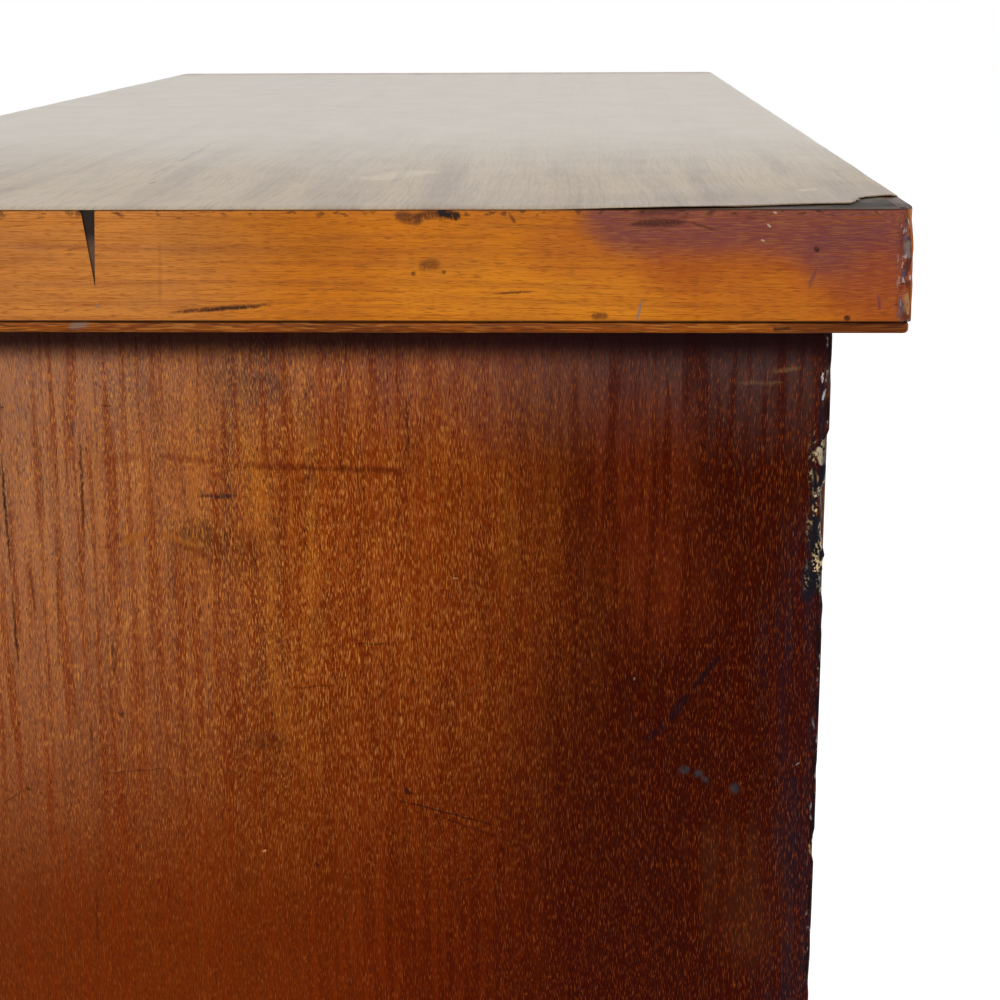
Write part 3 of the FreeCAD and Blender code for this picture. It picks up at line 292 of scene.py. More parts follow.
class Timber:
    """A timber surface built up in layers, from the wood itself to its polish. Masks are nodes or numbers."""

    # Where the dark, middle and light tones lie on the figure's noise
    TONE_PLACES = (0.30, 0.5, 0.68)
    # Where the noises of the fine structure begin to show, and where they show whole
    FINE_RANGES = {"Fibre": (0.46, 0.7), "Flecks": (0.54, 0.66), "Pores": (0.55, 0.68)}
    # Sizes in millimetres of the polish's patches, of its slow ripple and of the gaps in a broken mark
    POLISH_PATCH = 34.0
    RIPPLE_SIZE = 60
    GAP_SIZE = 0.9

    def __init__(self, name, grain, tones, sizes, wander=4.0):
        """Tones are dark, middle and light; sizes are (across, along) in millimetres of each grain layer."""
        self.material, self.tree = empty_material(name)
        place = add(self.tree, "ShaderNodeTexCoord").outputs["Object"]
        self.mm = add(self.tree, "ShaderNodeMapping", {"Vector": place, "Scale": TO_MM})
        turned = add(self.tree, "ShaderNodeMapping",
                     {"Vector": place, "Scale": TO_MM, "Rotation": GRAIN_TURN[grain]})
        given = {label + " size": (across, across, along)
                 for label, (across, along) in zip(GRAIN_LAYERS, sizes)}
        self.grain = add(self.tree, "ShaderNodeGroup",
                         {"Vector": turned, "Wander": wander, **given}, node_tree=grain_group())
        ramp = add(self.tree, "ShaderNodeValToRGB", {"Fac": self.grain.outputs["Figure"]})
        stops = ramp.color_ramp.elements
        stops.new(self.TONE_PLACES[1])
        for index, (position, tone) in enumerate(zip(self.TONE_PLACES, tones)):
            stops[index].position = position
            stops[index].color = linear(tone)
        self.colour = ramp

    def soft(self, value, low, high, strength=1.0):
        """A soft mask that rises from 0 to a strength as a value goes from low to high."""
        return add(self.tree, "ShaderNodeMapRange",
                   {"Value": value, "From Min": low, "From Max": high, "To Min": 0.0, "To Max": strength},
                   interpolation_type="SMOOTHSTEP")

    def product(self, mask, *others):
        """One mask of what several masks share."""
        for other in others:
            mask = add(self.tree, "ShaderNodeMath", {0: mask, 1: other}, operation="MULTIPLY")
        return mask

    def blotches(self, size, low, high, strength=1.0, stretch=(1, 1, 1), seed=0.0):
        """A mask of irregular patches, of a size in millimetres."""
        shrunk = add(self.tree, "ShaderNodeMapping",
                     {"Vector": self.mm, "Location": (seed, seed, seed),
                      "Scale": tuple(1 / (size * share) for share in stretch)})
        pattern = add(self.tree, "ShaderNodeTexNoise", {"Vector": shrunk, "Scale": 1.0, "Detail": 3.0})
        return self.soft(pattern, low, high, strength)

    def grains(self, label, low, high, strength=1.0):
        """A mask of one layer of the grain."""
        return self.soft(self.grain.outputs[label], low, high, strength)

    def rises(self, corner, axis, low, high, strength=1.0):
        """A soft mask that rises along an axis between two distances in millimetres from a corner."""
        parts = add(self.tree, "ShaderNodeSeparateXYZ", {0: self.mm})
        origin = corner["XYZ".index(axis)] / MM
        return self.soft(parts.outputs[axis], origin + low, origin + high, strength)

    def between(self, place, axis, first, last, strength=1.0):
        """A soft mask that rises along an axis between two pixels of the reference view."""
        start = place(first)
        reach = (place(last) - start)["XYZ".index(axis)] / MM
        return self.rises(start, axis, 0.0, reach, strength)

    def band(self, place, axis, first, last, fade):
        """A soft mask of a band along an axis, from one pixel of the reference view to a higher one."""
        return self.product(self.rises(place(first), axis, -fade, 0.0),
                            self.rises(place(last), axis, fade, 0.0))

    def stain(self, colour, *masks):
        """Change the colour towards another where all of the masks are."""
        self.colour = layer(self.tree, self.colour, linear(colour), self.product(*masks))

    def patches(self, stains, *masks):
        """Stains in irregular patches, each given as a colour and what its blotches take."""
        for colour, *blotches in stains.values():
            self.stain(colour, self.blotches(*blotches), *masks)

    def fibres(self, colours, strengths):
        """The fine structure: darker fibre, pale flecks and dark pores, each with a colour and a strength."""
        for (label, (low, high)), colour, strength in zip(self.FINE_RANGES.items(), colours, strengths):
            self.stain(colour, self.grains(label, low, high, strength))

    def shrunk(self, size):
        """The place on the object, counted in steps of a size in millimetres."""
        return add(self.tree, "ShaderNodeVectorMath", {0: self.mm, "Scale": 1 / size}, operation="SCALE")

    def marks(self, marks, place, waver, waver_size, broken=0.0):
        """Scratches, stains and chips, drawn where a place function puts the reference view's pixels."""
        shake = add(self.tree, "ShaderNodeTexNoise",
                    {"Vector": self.shrunk(waver_size), "Scale": 1.0, "Detail": 4.0})
        offset = add(self.tree, "ShaderNodeVectorMath",
                     {0: shake.outputs["Color"], 1: (waver,) * 3, 2: (-waver / 2,) * 3},
                     operation="MULTIPLY_ADD")
        uneven = add(self.tree, "ShaderNodeVectorMath", {0: self.mm, 1: offset}, operation="ADD")
        gaps = []
        if broken:
            open_spots = self.blotches(self.GAP_SIZE, 0.32, 0.5, broken, (1, 1, 2), 5.0)
            gaps = [add(self.tree, "ShaderNodeMath", {0: open_spots, 1: 1 - broken}, operation="ADD")]
        for start, end, width, fade, colour, strength in marks.values():
            begin = place(start) / MM
            along = place(end) / MM - begin
            if along.length < width / 10:
                along = Vector((0, 0, width / 10))
            outer = width / 2 + fade
            mark = add(self.tree, "ShaderNodeGroup",
                       {"Vector": uneven, "From": begin, "Along": along,
                        "Share": along / along.length_squared, "Inner": width / 2, "Outer": outer,
                        "Taper": outer if broken and along.length > 4 * width else 0.0,
                        "Strength": strength}, node_tree=mark_group())
            self.stain(MARK_COLOURS[colour], mark, *gaps)

    def polish(self, roughness, specular, bump=0.00004, ripple=0.0, coat=0.0, coat_roughness=0.1,
               smoother=None, tint="ffffff"):
        """Close the surface: a roughness range over patches, a bump from the grain and a slow ripple.
        A mask and an amount make parts of it smoother; old polish tints what it mirrors."""
        low, high = roughness
        patchy = self.blotches(self.POLISH_PATCH, 0.35, 0.65, 1.0, seed=3.0)
        rough = add(self.tree, "ShaderNodeMapRange",
                    {"Value": patchy, "To Min": low, "To Max": high})
        if smoother:
            mask, amount = smoother
            rough = add(self.tree, "ShaderNodeMath", {0: mask, 1: -amount, 2: rough},
                        operation="MULTIPLY_ADD")
        normal = add(self.tree, "ShaderNodeBump",
                     {"Height": self.grain.outputs["Fibre"], "Strength": 1.0, "Distance": bump})
        if ripple:
            slow = add(self.tree, "ShaderNodeTexNoise",
                       {"Vector": self.shrunk(self.RIPPLE_SIZE), "Scale": 1.0, "Detail": 1.0})
            normal = add(self.tree, "ShaderNodeBump",
                         {"Height": slow, "Strength": 1.0, "Distance": ripple,
                          "Normal": normal})
        shader = add(self.tree, "ShaderNodeBsdfPrincipled",
                     {"Base Color": self.colour, "Roughness": rough, "Normal": normal,
                      "Specular IOR Level": specular, "Specular Tint": linear(tint),
                      "Coat Weight": coat, "Coat Roughness": coat_roughness})
        add(self.tree, "ShaderNodeOutputMaterial", {"Surface": shader})
        return self.material


def on_side(pixel):
    """A pixel of the reference view, on the left side board's outer face."""
    return seen_at(pixel, 0, SIDE_LOW.x)


def on_edge(pixel):
    """A pixel of the reference view, on the left edge facing."""
    return seen_at(pixel, 0, EDGE_LOW.x)


def on_top(pixel):
    """A pixel of the reference view, on the top's surface."""
    return seen_at(pixel, 2, VENEER_HIGH.z)


# Where the left side board changes, as (axis, pixel where a change begins, pixel where it is whole)
FADES_TO_BACK = ("Y", (620, 600), (300, 600))
FADES_TO_FRONT = ("Y", (430, 600), (660, 600))
FADES_UPWARDS = ("Z", (400, 960), (400, 620))
# The gouged run of its front edge and the lost sliver of the facing, each with its fade in millimetres
GOUGED_RUN = ("Z", (820, 585), (820, 440), 8.0)
SLIVER_RUN = ("Y", (97, 240), (76, 240), 1.0)
# The worn corner of the left facing, with the strength of its wear
WORN_CORNER = ("Y", (894, 250), (909, 250), 0.85)

# Marks as (start pixel, end pixel, width, fade, colour, strength), with widths and fades in millimetres
SIDE_STAINS = {
    # A painted sheen: reflected light given as a paler, greyer haze over the back part of the board
    "painted sheen toward the back edge": ((-140, 330), (-110, 700), 100, 130, "haze", 0.42),
    "rust toward the middle": ((480, 420), (490, 1100), 50, 70, "rust", 0.34),
    "red brown lower part": ((-200, 1649), (1100, 1649), 720, 190, "foot red", 0.94),
    "lighter toward the back, low": ((20, 860), (120, 2300), 120, 130, "copper", 0.22),
    "shade below the peak": ((206, 538), (240, 552), 6, 10, "grime", 0.4),
    "shade by the bead": ((228, 372), (272, 380), 5, 8, "grime", 0.45),
    # Old polish, and painted shade for the light falling off toward the front
    "old polish and painted shade down the front": ((1000, 200), (874, 2300), 206, 165, "wine", 0.98),
    "dark column left of the front": ((620, 640), (600, 1000), 10, 30, "wine", 0.35),
    # Black stain, and painted shade where the rounded front arris turns away from the light
    "black stain and painted shade along the front arris": ((812, 540), (744, 2300), 4, 20, "blue black", 0.6),
    "warm patch in the dark": ((640, 430), (660, 600), 6, 30, "red", 0.25),
    "golden patch low at the front": ((735, 850), (745, 930), 10, 22, "umber", 0.4),
    "cool bloom under the top": ((-200, 250), (1100, 250), 60, 60, "bloom", 0.08),
}

SIDE_MARKS = {
    "red line of the figure": ((226, 462), (330, 469), 0.6, 2.2, "figure red", 0.5),
    "red line of the figure, front": ((330, 469), (424, 471), 0.8, 2.2, "figure red", 0.6),
    "figure above, rising": ((96, 462), (150, 455), 0.6, 2.4, "figure red", 0.4),
    "figure above, falling": ((150, 455), (228, 463), 0.6, 2.4, "figure red", 0.45),
    "peak, rising": ((96, 549), (156, 530), 0.7, 2.0, "figure red", 0.45),
    "peak, falling": ((156, 530), (216, 562), 0.7, 2.0, "figure red", 0.45),
    "long crack by the back": ((0, 441), (11, 582), 0.4, 0.7, "black", 0.85),
    "long crack, lower half": ((11, 582), (19, 671), 0.3, 0.7, "black", 0.7),
    "dark streak 1": ((71, 418), (74, 440), 0.25, 0.8, "slate", 0.6),
    "dark streak 2": ((79, 424), (85, 552), 0.3, 0.96, "dark", 0.75),
    "dark streak 3": ((93, 417), (98, 436), 0.25, 0.8, "slate", 0.5),
    "dark streak 4": ((38, 424), (45, 538), 0.2, 0.64, "dark", 0.55),
    "dark streak 5": ((28, 562), (38, 625), 0.25, 0.8, "dark", 0.55),
    "dark streak 6": ((57, 562), (59, 683), 0.2, 0.72, "dark", 0.55),
    "dark streak 7": ((112, 640), (115, 679), 0.4, 1.12, "dark", 0.6),
    "dark streak 8": ((395, 368), (400, 402), 0.15, 0.48, "dark", 0.6),
    "dark streak 9": ((406, 395), (409, 460), 0.25, 0.72, "dark", 0.8),
    "dark streak 10": ((429, 451), (434, 494), 0.2, 0.72, "dark", 0.6),
    "dark streak 11": ((91, 718), (93, 769), 0.25, 0.8, "dark", 0.6),
    "dark streak 12": ((96, 883), (98, 950), 0.15, 0.56, "dark", 0.6),
    "dark streak 13": ((167, 874), (171, 917), 0.15, 0.56, "dark", 0.5),
    "dark streak 14": ((215, 968), (216, 985), 0.2, 0.56, "dark", 0.5),
    "bruise": ((196, 497), (240, 495), 0.6, 1.0, "blue black", 0.75),
    "short scratch": ((100, 406), (114, 406), 0.2, 0.5, "black", 0.6),
    "edge scratch": ((0, 407), (5, 407), 0.2, 0.5, "black", 0.6),
    "middle scratch": ((350, 644), (397, 644), 0.2, 0.6, "black", 0.7),
    "double scratch, upper": ((387, 797), (517, 831), 0.25, 0.5, "black", 0.75),
    "double scratch, lower": ((415, 808), (544, 853), 0.2, 0.5, "dark", 0.7),
    "scratch below": ((457, 882), (484, 874), 0.2, 0.5, "dark", 0.6),
    "ink streak, low": ((642, 742), (668, 722), 0.8, 2.2, "ink", 0.7),
    "ink streak, middle": ((668, 722), (690, 692), 1.4, 2.6, "ink", 0.7),
    "ink streak, high": ((690, 692), (724, 650), 0.5, 2.2, "ink", 0.7),
    "bloom 1": ((734, 787), (735, 789), 1.6, 2.0, "slate", 0.65),
    "bloom 2": ((705, 779), (706, 780), 0.8, 1.6, "slate", 0.5),
    "bloom 3": ((698, 773), (699, 774), 1.4, 1.4, "slate", 0.7),
    "bloom 4": ((684, 769), (685, 770), 1.8, 1.6, "slate", 0.7),
    # A painted glint
    "painted glint on the smear": ((634, 678), (634, 679), 0.4, 0.5, "white", 0.22),
    "smear round the dot": ((622, 676), (642, 690), 2.0, 3.0, "wine", 0.6),
    "pale scratch 1": ((734, 787), (770, 772), 0.01, 0.2, "grey", 0.2),
    "pale scratch 2": ((770, 372), (802, 367), 0.5, 1.2, "tan", 0.14),
    "pale scratch 3": ((734, 383), (787, 383), 0.4, 1.2, "tan", 0.11),
    "spot 1": ((122, 714), (123, 716), 0.6, 0.9, "dark", 0.8),
    "spot 2": ((28, 788), (29, 789), 0.6, 0.9, "dark", 0.7),
    "spot 3": ((21, 848), (22, 849), 0.5, 0.8, "dark", 0.6),
    "spot 4": ((228, 770), (229, 771), 0.5, 0.8, "dark", 0.6),
    "spot 5": ((316, 864), (317, 866), 0.5, 0.9, "dark", 0.7),
    "spot 6": ((406, 790), (410, 794), 0.8, 0.9, "black", 0.7),
    "spot 7": ((435, 899), (436, 900), 0.5, 0.8, "dark", 0.6),
    "spot 8": ((572, 880), (573, 881), 0.5, 0.8, "dark", 0.6),
    "spot 9": ((609, 931), (610, 932), 0.5, 0.8, "dark", 0.6),
    "spot 10": ((533, 965), (534, 966), 0.5, 0.8, "dark", 0.6),
    "pale nick 1": ((263, 851), (265, 850), 0.4, 0.5, "tan", 0.8),
    "pale nick 2": ((451, 578), (458, 579), 0.2, 0.4, "tan", 0.7),
    "smudge": ((255, 742), (280, 742), 3.0, 4.0, "dark", 0.35),
    "faint line 1": ((98, 774), (176, 768), 0.2, 0.7, "dark", 0.45),
    "faint line 2": ((0, 805), (29, 787), 0.2, 0.7, "dark", 0.45),
    "faint line 3": ((290, 689), (337, 684), 0.2, 0.6, "dark", 0.5),
    "figure line": ((218, 466), (423, 471), 0.5, 1.6, "wine", 0.35),
    "figure peak, rising": ((116, 546), (150, 530), 0.8, 2.2, "gold", 0.3),
    "figure peak, falling": ((155, 531), (200, 548), 0.8, 2.0, "gold", 0.25),
    "dark stain by the arris": ((812, 556), (806, 605), 3.0, 3.0, "blue black", 0.85),
    "blue chips by the arris": ((824, 350), (820, 520), 1.2, 1.6, "blue black", 0.8),
    "cream chip 1": ((819, 450), (822, 462), 1.6, 0.8, "pale", 0.51),
    "cream chip 2": ((814, 470), (816, 486), 1.5, 0.8, "tan", 0.85),
    "cream chip 3": ((817, 488), (821, 500), 0.9, 0.6, "pale", 0.42),
    "cream chip 4": ((813, 520), (815, 534), 1.4, 0.8, "tan", 0.8),
    "glint 1": ((823, 372), (822, 384), 0.4, 0.4, "white", 0.48),
    "glint 2": ((826, 388), (822, 402), 0.4, 0.5, "white", 0.42),
    "glint 3": ((795, 766), (801, 762), 0.25, 0.5, "white", 0.48),
    "pale chip low": ((810, 843), (811, 856), 0.6, 0.6, "tan", 0.8),
}

EDGE_STAINS = {
    "pale brown back end": ((-60, 270), (120, 270), 26, 60, "tan", 0.25),
    "honey band": ((420, 292), (640, 300), 6, 22, "honey", 0.45),
    "brown under the purple": ((560, 250), (840, 262), 8, 14, "russet", 0.35),
    "honey band, front": ((730, 288), (790, 300), 4, 16, "honey", 0.35),
    "red glaze toward the front": ((690, 262), (930, 285), 16, 18, "red glaze", 0.35),
    "purple polish, upper front": ((625, 214), (930, 224), 14, 12, "purple", 0.85),
    "purple polish, shoulder": ((840, 250), (915, 265), 10, 16, "purple", 0.7),
    "russet front end": ((880, 290), (915, 300), 10, 22, "russet", 0.6),
    "brown above the middle": ((180, 235), (330, 240), 5, 14, "umber", 0.18),
}

EDGE_MARKS = {
    # Painted shadow along the gap under the broken, lifted veneer
    "painted shadow under the broken veneer": ((640, 208), (770, 207), 0.5, 0.7, "black", 0.85),
    "painted shadow toward the corner": ((770, 207), (908, 206), 0.9, 0.9, "black", 0.9),
    "chip at the sliver's head": ((82, 209), (92, 209), 2.2, 0.6, "black", 0.95),
    "flaw beside the sliver": ((64, 211), (74, 214), 0.5, 1.4, "dark", 0.6),
    "split below the sliver": ((92, 262), (95, 288), 0.2, 0.4, "umber", 0.8),
    "tick below the sliver": ((96, 304), (99, 308), 0.3, 0.6, "grey", 0.6),
    "gouge": ((165, 313), (278, 304), 0.8, 1.0, "umber", 0.85),
    "gouge, dark core": ((195, 311), (262, 306), 0.3, 0.6, "black", 0.7),
    "old damage": ((392, 214), (425, 222), 1.6, 2.6, "umber", 0.8),
    "old damage, dark": ((412, 216), (456, 213), 1.2, 2.0, "dark", 0.8),
    "black chip": ((442, 213), (456, 216), 2.2, 1.2, "black", 0.95),
    "thumb smudge": ((424, 266), (434, 264), 1.2, 2.6, "umber", 0.65),
    "dot 1": ((413, 274), (414, 274), 0.7, 0.9, "dark", 0.7),
    "dot 2": ((443, 272), (444, 272), 0.6, 0.8, "dark", 0.7),
    "line": ((488, 294), (540, 291), 0.3, 0.5, "umber", 0.85),
    "scratch at the rim": ((508, 212), (516, 224), 0.4, 0.8, "dark", 0.65),
    "scratch by the bead": ((643, 298), (636, 322), 0.5, 0.6, "grey", 0.75),
    "smudge by the bead": ((590, 316), (610, 316), 1.0, 1.6, "umber", 0.7),
    "knot line": ((626, 224), (690, 222), 1.2, 1.4, "dark", 0.7),
    "knot tail": ((690, 222), (720, 232), 0.3, 0.8, "dark", 0.6),
    "knot brow": ((628, 214), (690, 210), 0.6, 1.6, "dark", 0.45),
    "white chip 1": ((774, 212), (776, 213), 0.4, 0.4, "pale", 0.6),
    "white chip 2": ((768, 225), (770, 226), 0.3, 0.4, "pale", 0.5),
    "white chip 3": ((762, 240), (764, 241), 0.3, 0.4, "pale", 0.4),
    "dot on the purple": ((816, 249), (817, 250), 1.2, 0.6, "dark", 0.85),
    "dark dot low": ((846, 318), (848, 318), 1.2, 0.6, "black", 0.85),
    "slanted scratch": ((818, 265), (808, 290), 0.3, 1.0, "purple", 0.7),
    "short cut": ((878, 292), (880, 312), 0.4, 0.7, "purple", 0.85),
    "faint band": ((160, 236), (160, 312), 0.2, 1.0, "umber", 0.2),
    # The worn corner, pale where it is rubbed, with painted highlights along its rounding
    "worn corner and painted highlight 1": ((908, 238), (910, 260), 1.6, 1.6, "grey", 0.8),
    "worn corner and painted highlight 2": ((908, 290), (911, 318), 2.2, 2.0, "tan", 0.5),
    "worn corner and painted highlight 3": ((911, 232), (913, 262), 0.7, 0.8, "white", 0.65),
    "worn corner and painted highlight 4": ((912, 270), (913, 300), 0.6, 0.8, "pale", 0.6),
    "dark split at the corner": ((893, 305), (914, 300), 0.3, 0.5, "black", 0.7),
}

BEAD_MARKS = {
    "dark front end": ((830, 327), (930, 327), 4, 24, "wine", 0.6),
    "smudge on the bead": ((776, 330), (789, 329), 1.2, 1.0, "black", 0.8),
    "bright dot": ((803, 323), (805, 323), 0.5, 0.4, "white", 0.8),
    "pale rub": ((72, 326), (84, 324), 1.6, 1.4, "grey", 0.6),
    "chips on the line": ((480, 322), (500, 323), 0.7, 0.6, "black", 0.9),
}

TOP_MARKS = {
    "browner by the corner": ((640, 206), (930, 196), 30, 60, "umber", 0.3),
    "crack in the polish": ((175, 164), (220, 139), 0.8, 1.6, "dark", 0.75),
    "crack, near branch": ((150, 176), (176, 164), 0.6, 1.6, "umber", 0.5),
    "wedge mark": ((393, 182), (406, 170), 2.0, 2.0, "umber", 0.55),
    "pale patch round it": ((380, 178), (415, 172), 9.0, 9.0, "pale", 0.35),
    "dash": ((148, 184), (156, 181), 1.2, 0.8, "dark", 0.75),
    "dark streak": ((30, 145), (70, 143), 2.0, 4.0, "umber", 0.4),
    "spot by the corner": ((807, 190), (811, 189), 2.0, 1.0, "slate", 0.9),
    "pale rim of the spot": ((800, 191), (816, 188), 3.0, 3.0, "pale", 0.4),
    "cigar of shade": ((475, 205), (505, 203), 0.8, 1.2, "umber", 0.45),
}


@cache
def side_board_finish(side):
    """Mahogany board, planed and french polished: a coarse gleam of short golden flecks in red brown."""
    colours = bpy.context.scene.chest_colours
    wood = Timber("french polished mahogany board, " + side, "z",
                  (colours.board_dark, colours.board_middle, colours.board_light),
                  ((11, 260), (0.7, 12), (0.23, 3.0), (0.28, 3.2)), 22.0)
    wood.patches({"red brown clouds": ("7c2f06", 60.0, 0.42, 0.66, 0.6, (1, 1, 2.6)),
                  "brown patches": ("55290f", 14.0, 0.5, 0.7, 0.5, (1, 1, 1.8), 4.0),
                  "dark streaks": ("45160a", 4.5, 0.5, 0.66, 0.55, (1, 1, 16), 4.0),
                  "fine dark streaks": ("3a1a10", 1.5, 0.58, 0.7, 0.6, (1, 1, 22), 31.0),
                  "golden streaks": ("ae6118", 7.0, 0.5, 0.68, 0.45, (1, 1, 9), 15.0)})
    wood.fibres(("5f260b", "c98330", "2c1006"), (0.4, 0.25, 0.6))
    wood.patches({"clusters of bright flecks": ("e79f3c", 11.0, 0.36, 0.58, 1.0, (1, 1, 2.4), 7.0)},
                 wood.grains("Flecks", 0.6, 0.68, 0.6))
    if side == "left":
        photographed_board(wood)
    else:
        wood.patches({"dark clouds": ("3a1210", 150.0, 0.46, 0.6, 0.8, (1, 1, 2.5), 9.0)})
    return wood.polish((0.3, 0.42), 0.06, 0.00007, 0.00012, tint="c8603a")


def photographed_board(wood):
    """What the photographed side board shows: paler toward the back under a painted sheen, dark in front with
    old polish and painted shade, darkened along its top by painted shadow and dirt, scratched and spotted,
    its front edge chipped and gouged."""
    wood.marks(SIDE_STAINS, on_side, waver=26.0, waver_size=48.0)
    back = wood.between(on_side, *FADES_TO_BACK)
    wood.patches({"dark ribbons": ("320702", 5.0, 0.42, 0.62, 0.7, (1, 1, 16), 41.0)},
                 wood.between(on_side, *FADES_TO_FRONT))
    wood.patches({"red ribbons": ("6c2404", 3.4, 0.48, 0.64, 0.6, (1, 1, 22), 52.0)}, back)
    flecks = wood.grains("Flecks", 0.57, 0.67)
    wood.stain("822a06", flecks, 0.3)
    wood.stain("cf8742", flecks, back, wood.between(on_side, *FADES_UPWARDS), 0.42)
    wood.stain("b06a34", wood.grains("Flecks", 0.68, 0.74, 0.22))
    wood.stain("160508", wood.grains("Pores", 0.56, 0.66, 0.45))
    # Painted shadow of the top's overhang, with the dirt that gathers under it: the board darkens toward its
    # top
    wood.stain("180a0e", wood.rises(SIDE_HIGH, "Z", -19, -7, 0.93))
    wood.marks(SIDE_MARKS, on_side, waver=2.0, waver_size=3.0, broken=0.65)
    gouged = wood.product(wood.rises(SIDE_LOW, "Y", 8.5, 5.0), wood.band(on_side, *GOUGED_RUN))
    wood.patches({"black in the gouges": ("14161b", 6.0, 0.4, 0.5, 1.0, (1, 1, 3), 9.0)}, gouged)
    wood.patches({"bare wood": ("c9b184", 6.0, 0.5, 0.6, 1.0, (1, 1, 2), 3.0)}, gouged,
                 wood.blotches(1.1, 0.5, 0.56, 0.95, (1, 1, 1.4), 2.0))
    wood.patches({"black chips": ("0b0b0e", 5.0, 0.45, 0.55, 0.8, (1, 1, 4), 6.0),
                  "grey chips": ("8d8c88", 1.6, 0.62, 0.7, 0.7, (1, 1, 3), 8.0)},
                 wood.rises(SIDE_LOW, "Y", 3.4, 1.4), wood.rises(SIDE_LOW, "X", 4.0, 2.0))


@cache
def facing_finish(place):
    """Straight grained mahogany strip, planed and polished, bleached by light to a golden orange."""
    colours = bpy.context.scene.chest_colours
    wood = Timber("polished mahogany edge, " + place, "x" if place == "front" else "y",
                  (colours.facing_dark, colours.facing_light, colours.facing_light),
                  ((4, 190), (0.5, 34), (0.3, 7.0), (0.3, 4.6)), 6.0)
    wood.patches({"brown clouds": ("8f4a1e", 30.0, 0.45, 0.7, 0.5, (1, 2, 1)),
                  "brown streaks": ("96501a", 3.0, 0.5, 0.68, 0.4, (1, 16, 1), 5.0)})
    if place == "left":
        wood.marks(EDGE_STAINS, on_edge, waver=14.0, waver_size=26.0)
    else:
        wood.patches({"old polish": ("6b3010", 130.0, 0.3, 0.62, 0.85, (2, 1, 1)),
                      "darkest polish": ("4a1c12", 48.0, 0.48, 0.66, 0.7, (2, 1, 0.7), 8.0)})
    wood.fibres(("8a4512", "d58d2c", "5a280c"), (0.5, 0.15, 0.5))
    wood.stain("2c1a10", wood.rises(EDGE_HIGH, "Z", -0.7, -0.2, 0.85))
    wood.stain("1d0d06", wood.rises(EDGE_LOW, "Z", 0.8, 0.3, 0.85))
    wood.patches({"nicks on the upper arris": ("3a2010", 2.0, 0.56, 0.64, 0.7, (2.5, 2.5, 1), 4.0)},
                 wood.rises(EDGE_HIGH, "Z", -4.5, -1.0))
    if place == "left":
        ground = wood.product(wood.rises(EDGE_LOW, "X", 0.7, 1.3, 0.9), wood.band(on_edge, *SLIVER_RUN))
        wood.stain("4a4038", ground)
        wood.stain("120d0b", ground, wood.rises(EDGE_HIGH, "Z", -15, -8, 0.95))
        # Knocks on the worn corner, dark and slate, with painted highlights on them
        wood.patches({"dark knocks": ("2a1316", 3.2, 0.38, 0.54, 0.85, (1, 1, 1.6), 3.0),
                      "slate knocks": ("414a5e", 2.6, 0.55, 0.62, 0.75, (1, 1, 2), 17.0),
                      "painted highlights on the knocks": ("b4adb0", 2.0, 0.6, 0.66, 0.8, (1, 1, 2.4), 11.0)},
                     wood.between(on_edge, *WORN_CORNER))
        wood.marks(EDGE_MARKS, on_edge, waver=1.2, waver_size=3.0, broken=0.5)
    return wood.polish((0.34, 0.48), 0.06, 0.00005, 0.0003)


@cache
def bead_finish(place):
    """Small mahogany bead, rubbed to a warm brown along its nose, with dirt in the line above it."""
    wood = Timber("rubbed mahogany bead, " + place, "x" if place == "front" else "y",
                  ("5e2a08", "84410b", "96500e"), ((9, 120), (0.6, 16), (0.5, 9), (0.5, 9)))
    wood.patches({"dark clouds": ("5a260f", 60.0, 0.5, 0.66, 0.6, (1, 2, 1))})
    wood.fibres(("5e2c0e", "cf8a3c", "33150a"), (0.5, 0.3, 0.6))
    wood.stain("120c0a", wood.rises(BEAD_HIGH, "Z", -0.9, -0.3, 0.9))
    if place == "left":
        wood.marks(BEAD_MARKS, on_edge, waver=0.9, waver_size=3.0)
    return wood.polish((0.32, 0.45), 0.06, 0.00004)


@cache
def top_finish():
    """Mahogany veneer, once polished bright and since bleached and rubbed: it mirrors the room at a low
    angle, through a brown haze that comes and goes in patches, and is painted paler away from its left end as
    a painted reflection."""
    colours = bpy.context.scene.chest_colours
    wood = Timber("bleached polished mahogany veneer", "x",
                  (colours.top_dark, colours.top_light, colours.top_light),
                  ((14, 340), (1.6, 70), (1.1, 26), (1.0, 16)), 16.0)
    wood.patches({"brown haze": (colours.top_dark, 60.0, 0.4, 0.7, 0.3, (3, 1, 1))})
    wood.fibres(("5e4028", "b8a07c", "443020"), (0.34, 0.18, 0.26))
    wood.marks(TOP_MARKS, on_top, waver=5.0, waver_size=12.0, broken=0.3)
    painted_reflection_and_gloss = wood.product(wood.rises(VENEER_LOW, "X", 60, 420), wood.rises(VENEER_HIGH, "X", -10, -70))
    # Painted reflection: paler away from the left end, for the room mirrored at a low angle. The same mask
    # makes the polish smoother there
    wood.stain("b3a897", painted_reflection_and_gloss, 0.72)
    return wood.polish((0.35, 0.38), 0.74, 0.00002, smoother=(painted_reflection_and_gloss, 0.06))


@cache
def board_finish(grain):
    """Mahogany rails, plinth and divider, planed and polished: dark red brown with a soft gloss."""
    wood = Timber("polished mahogany, grain along " + grain, grain, ("401508", "6b2e12", "8a4318"),
                  ((14, 240), (1.0, 26), (0.62, 7), (0.55, 8)), 7.0)
    wood.patches({"dark clouds": ("3a1210", 120.0, 0.48, 0.66, 0.6, (1.6, 1, 1))})
    wood.fibres(("431a0c", "b9783a", "2a0f09"), (0.5, 0.35, 0.5))
    return wood.polish((0.3, 0.42), 0.22, 0.00005, 0.00015, tint="e0a080")


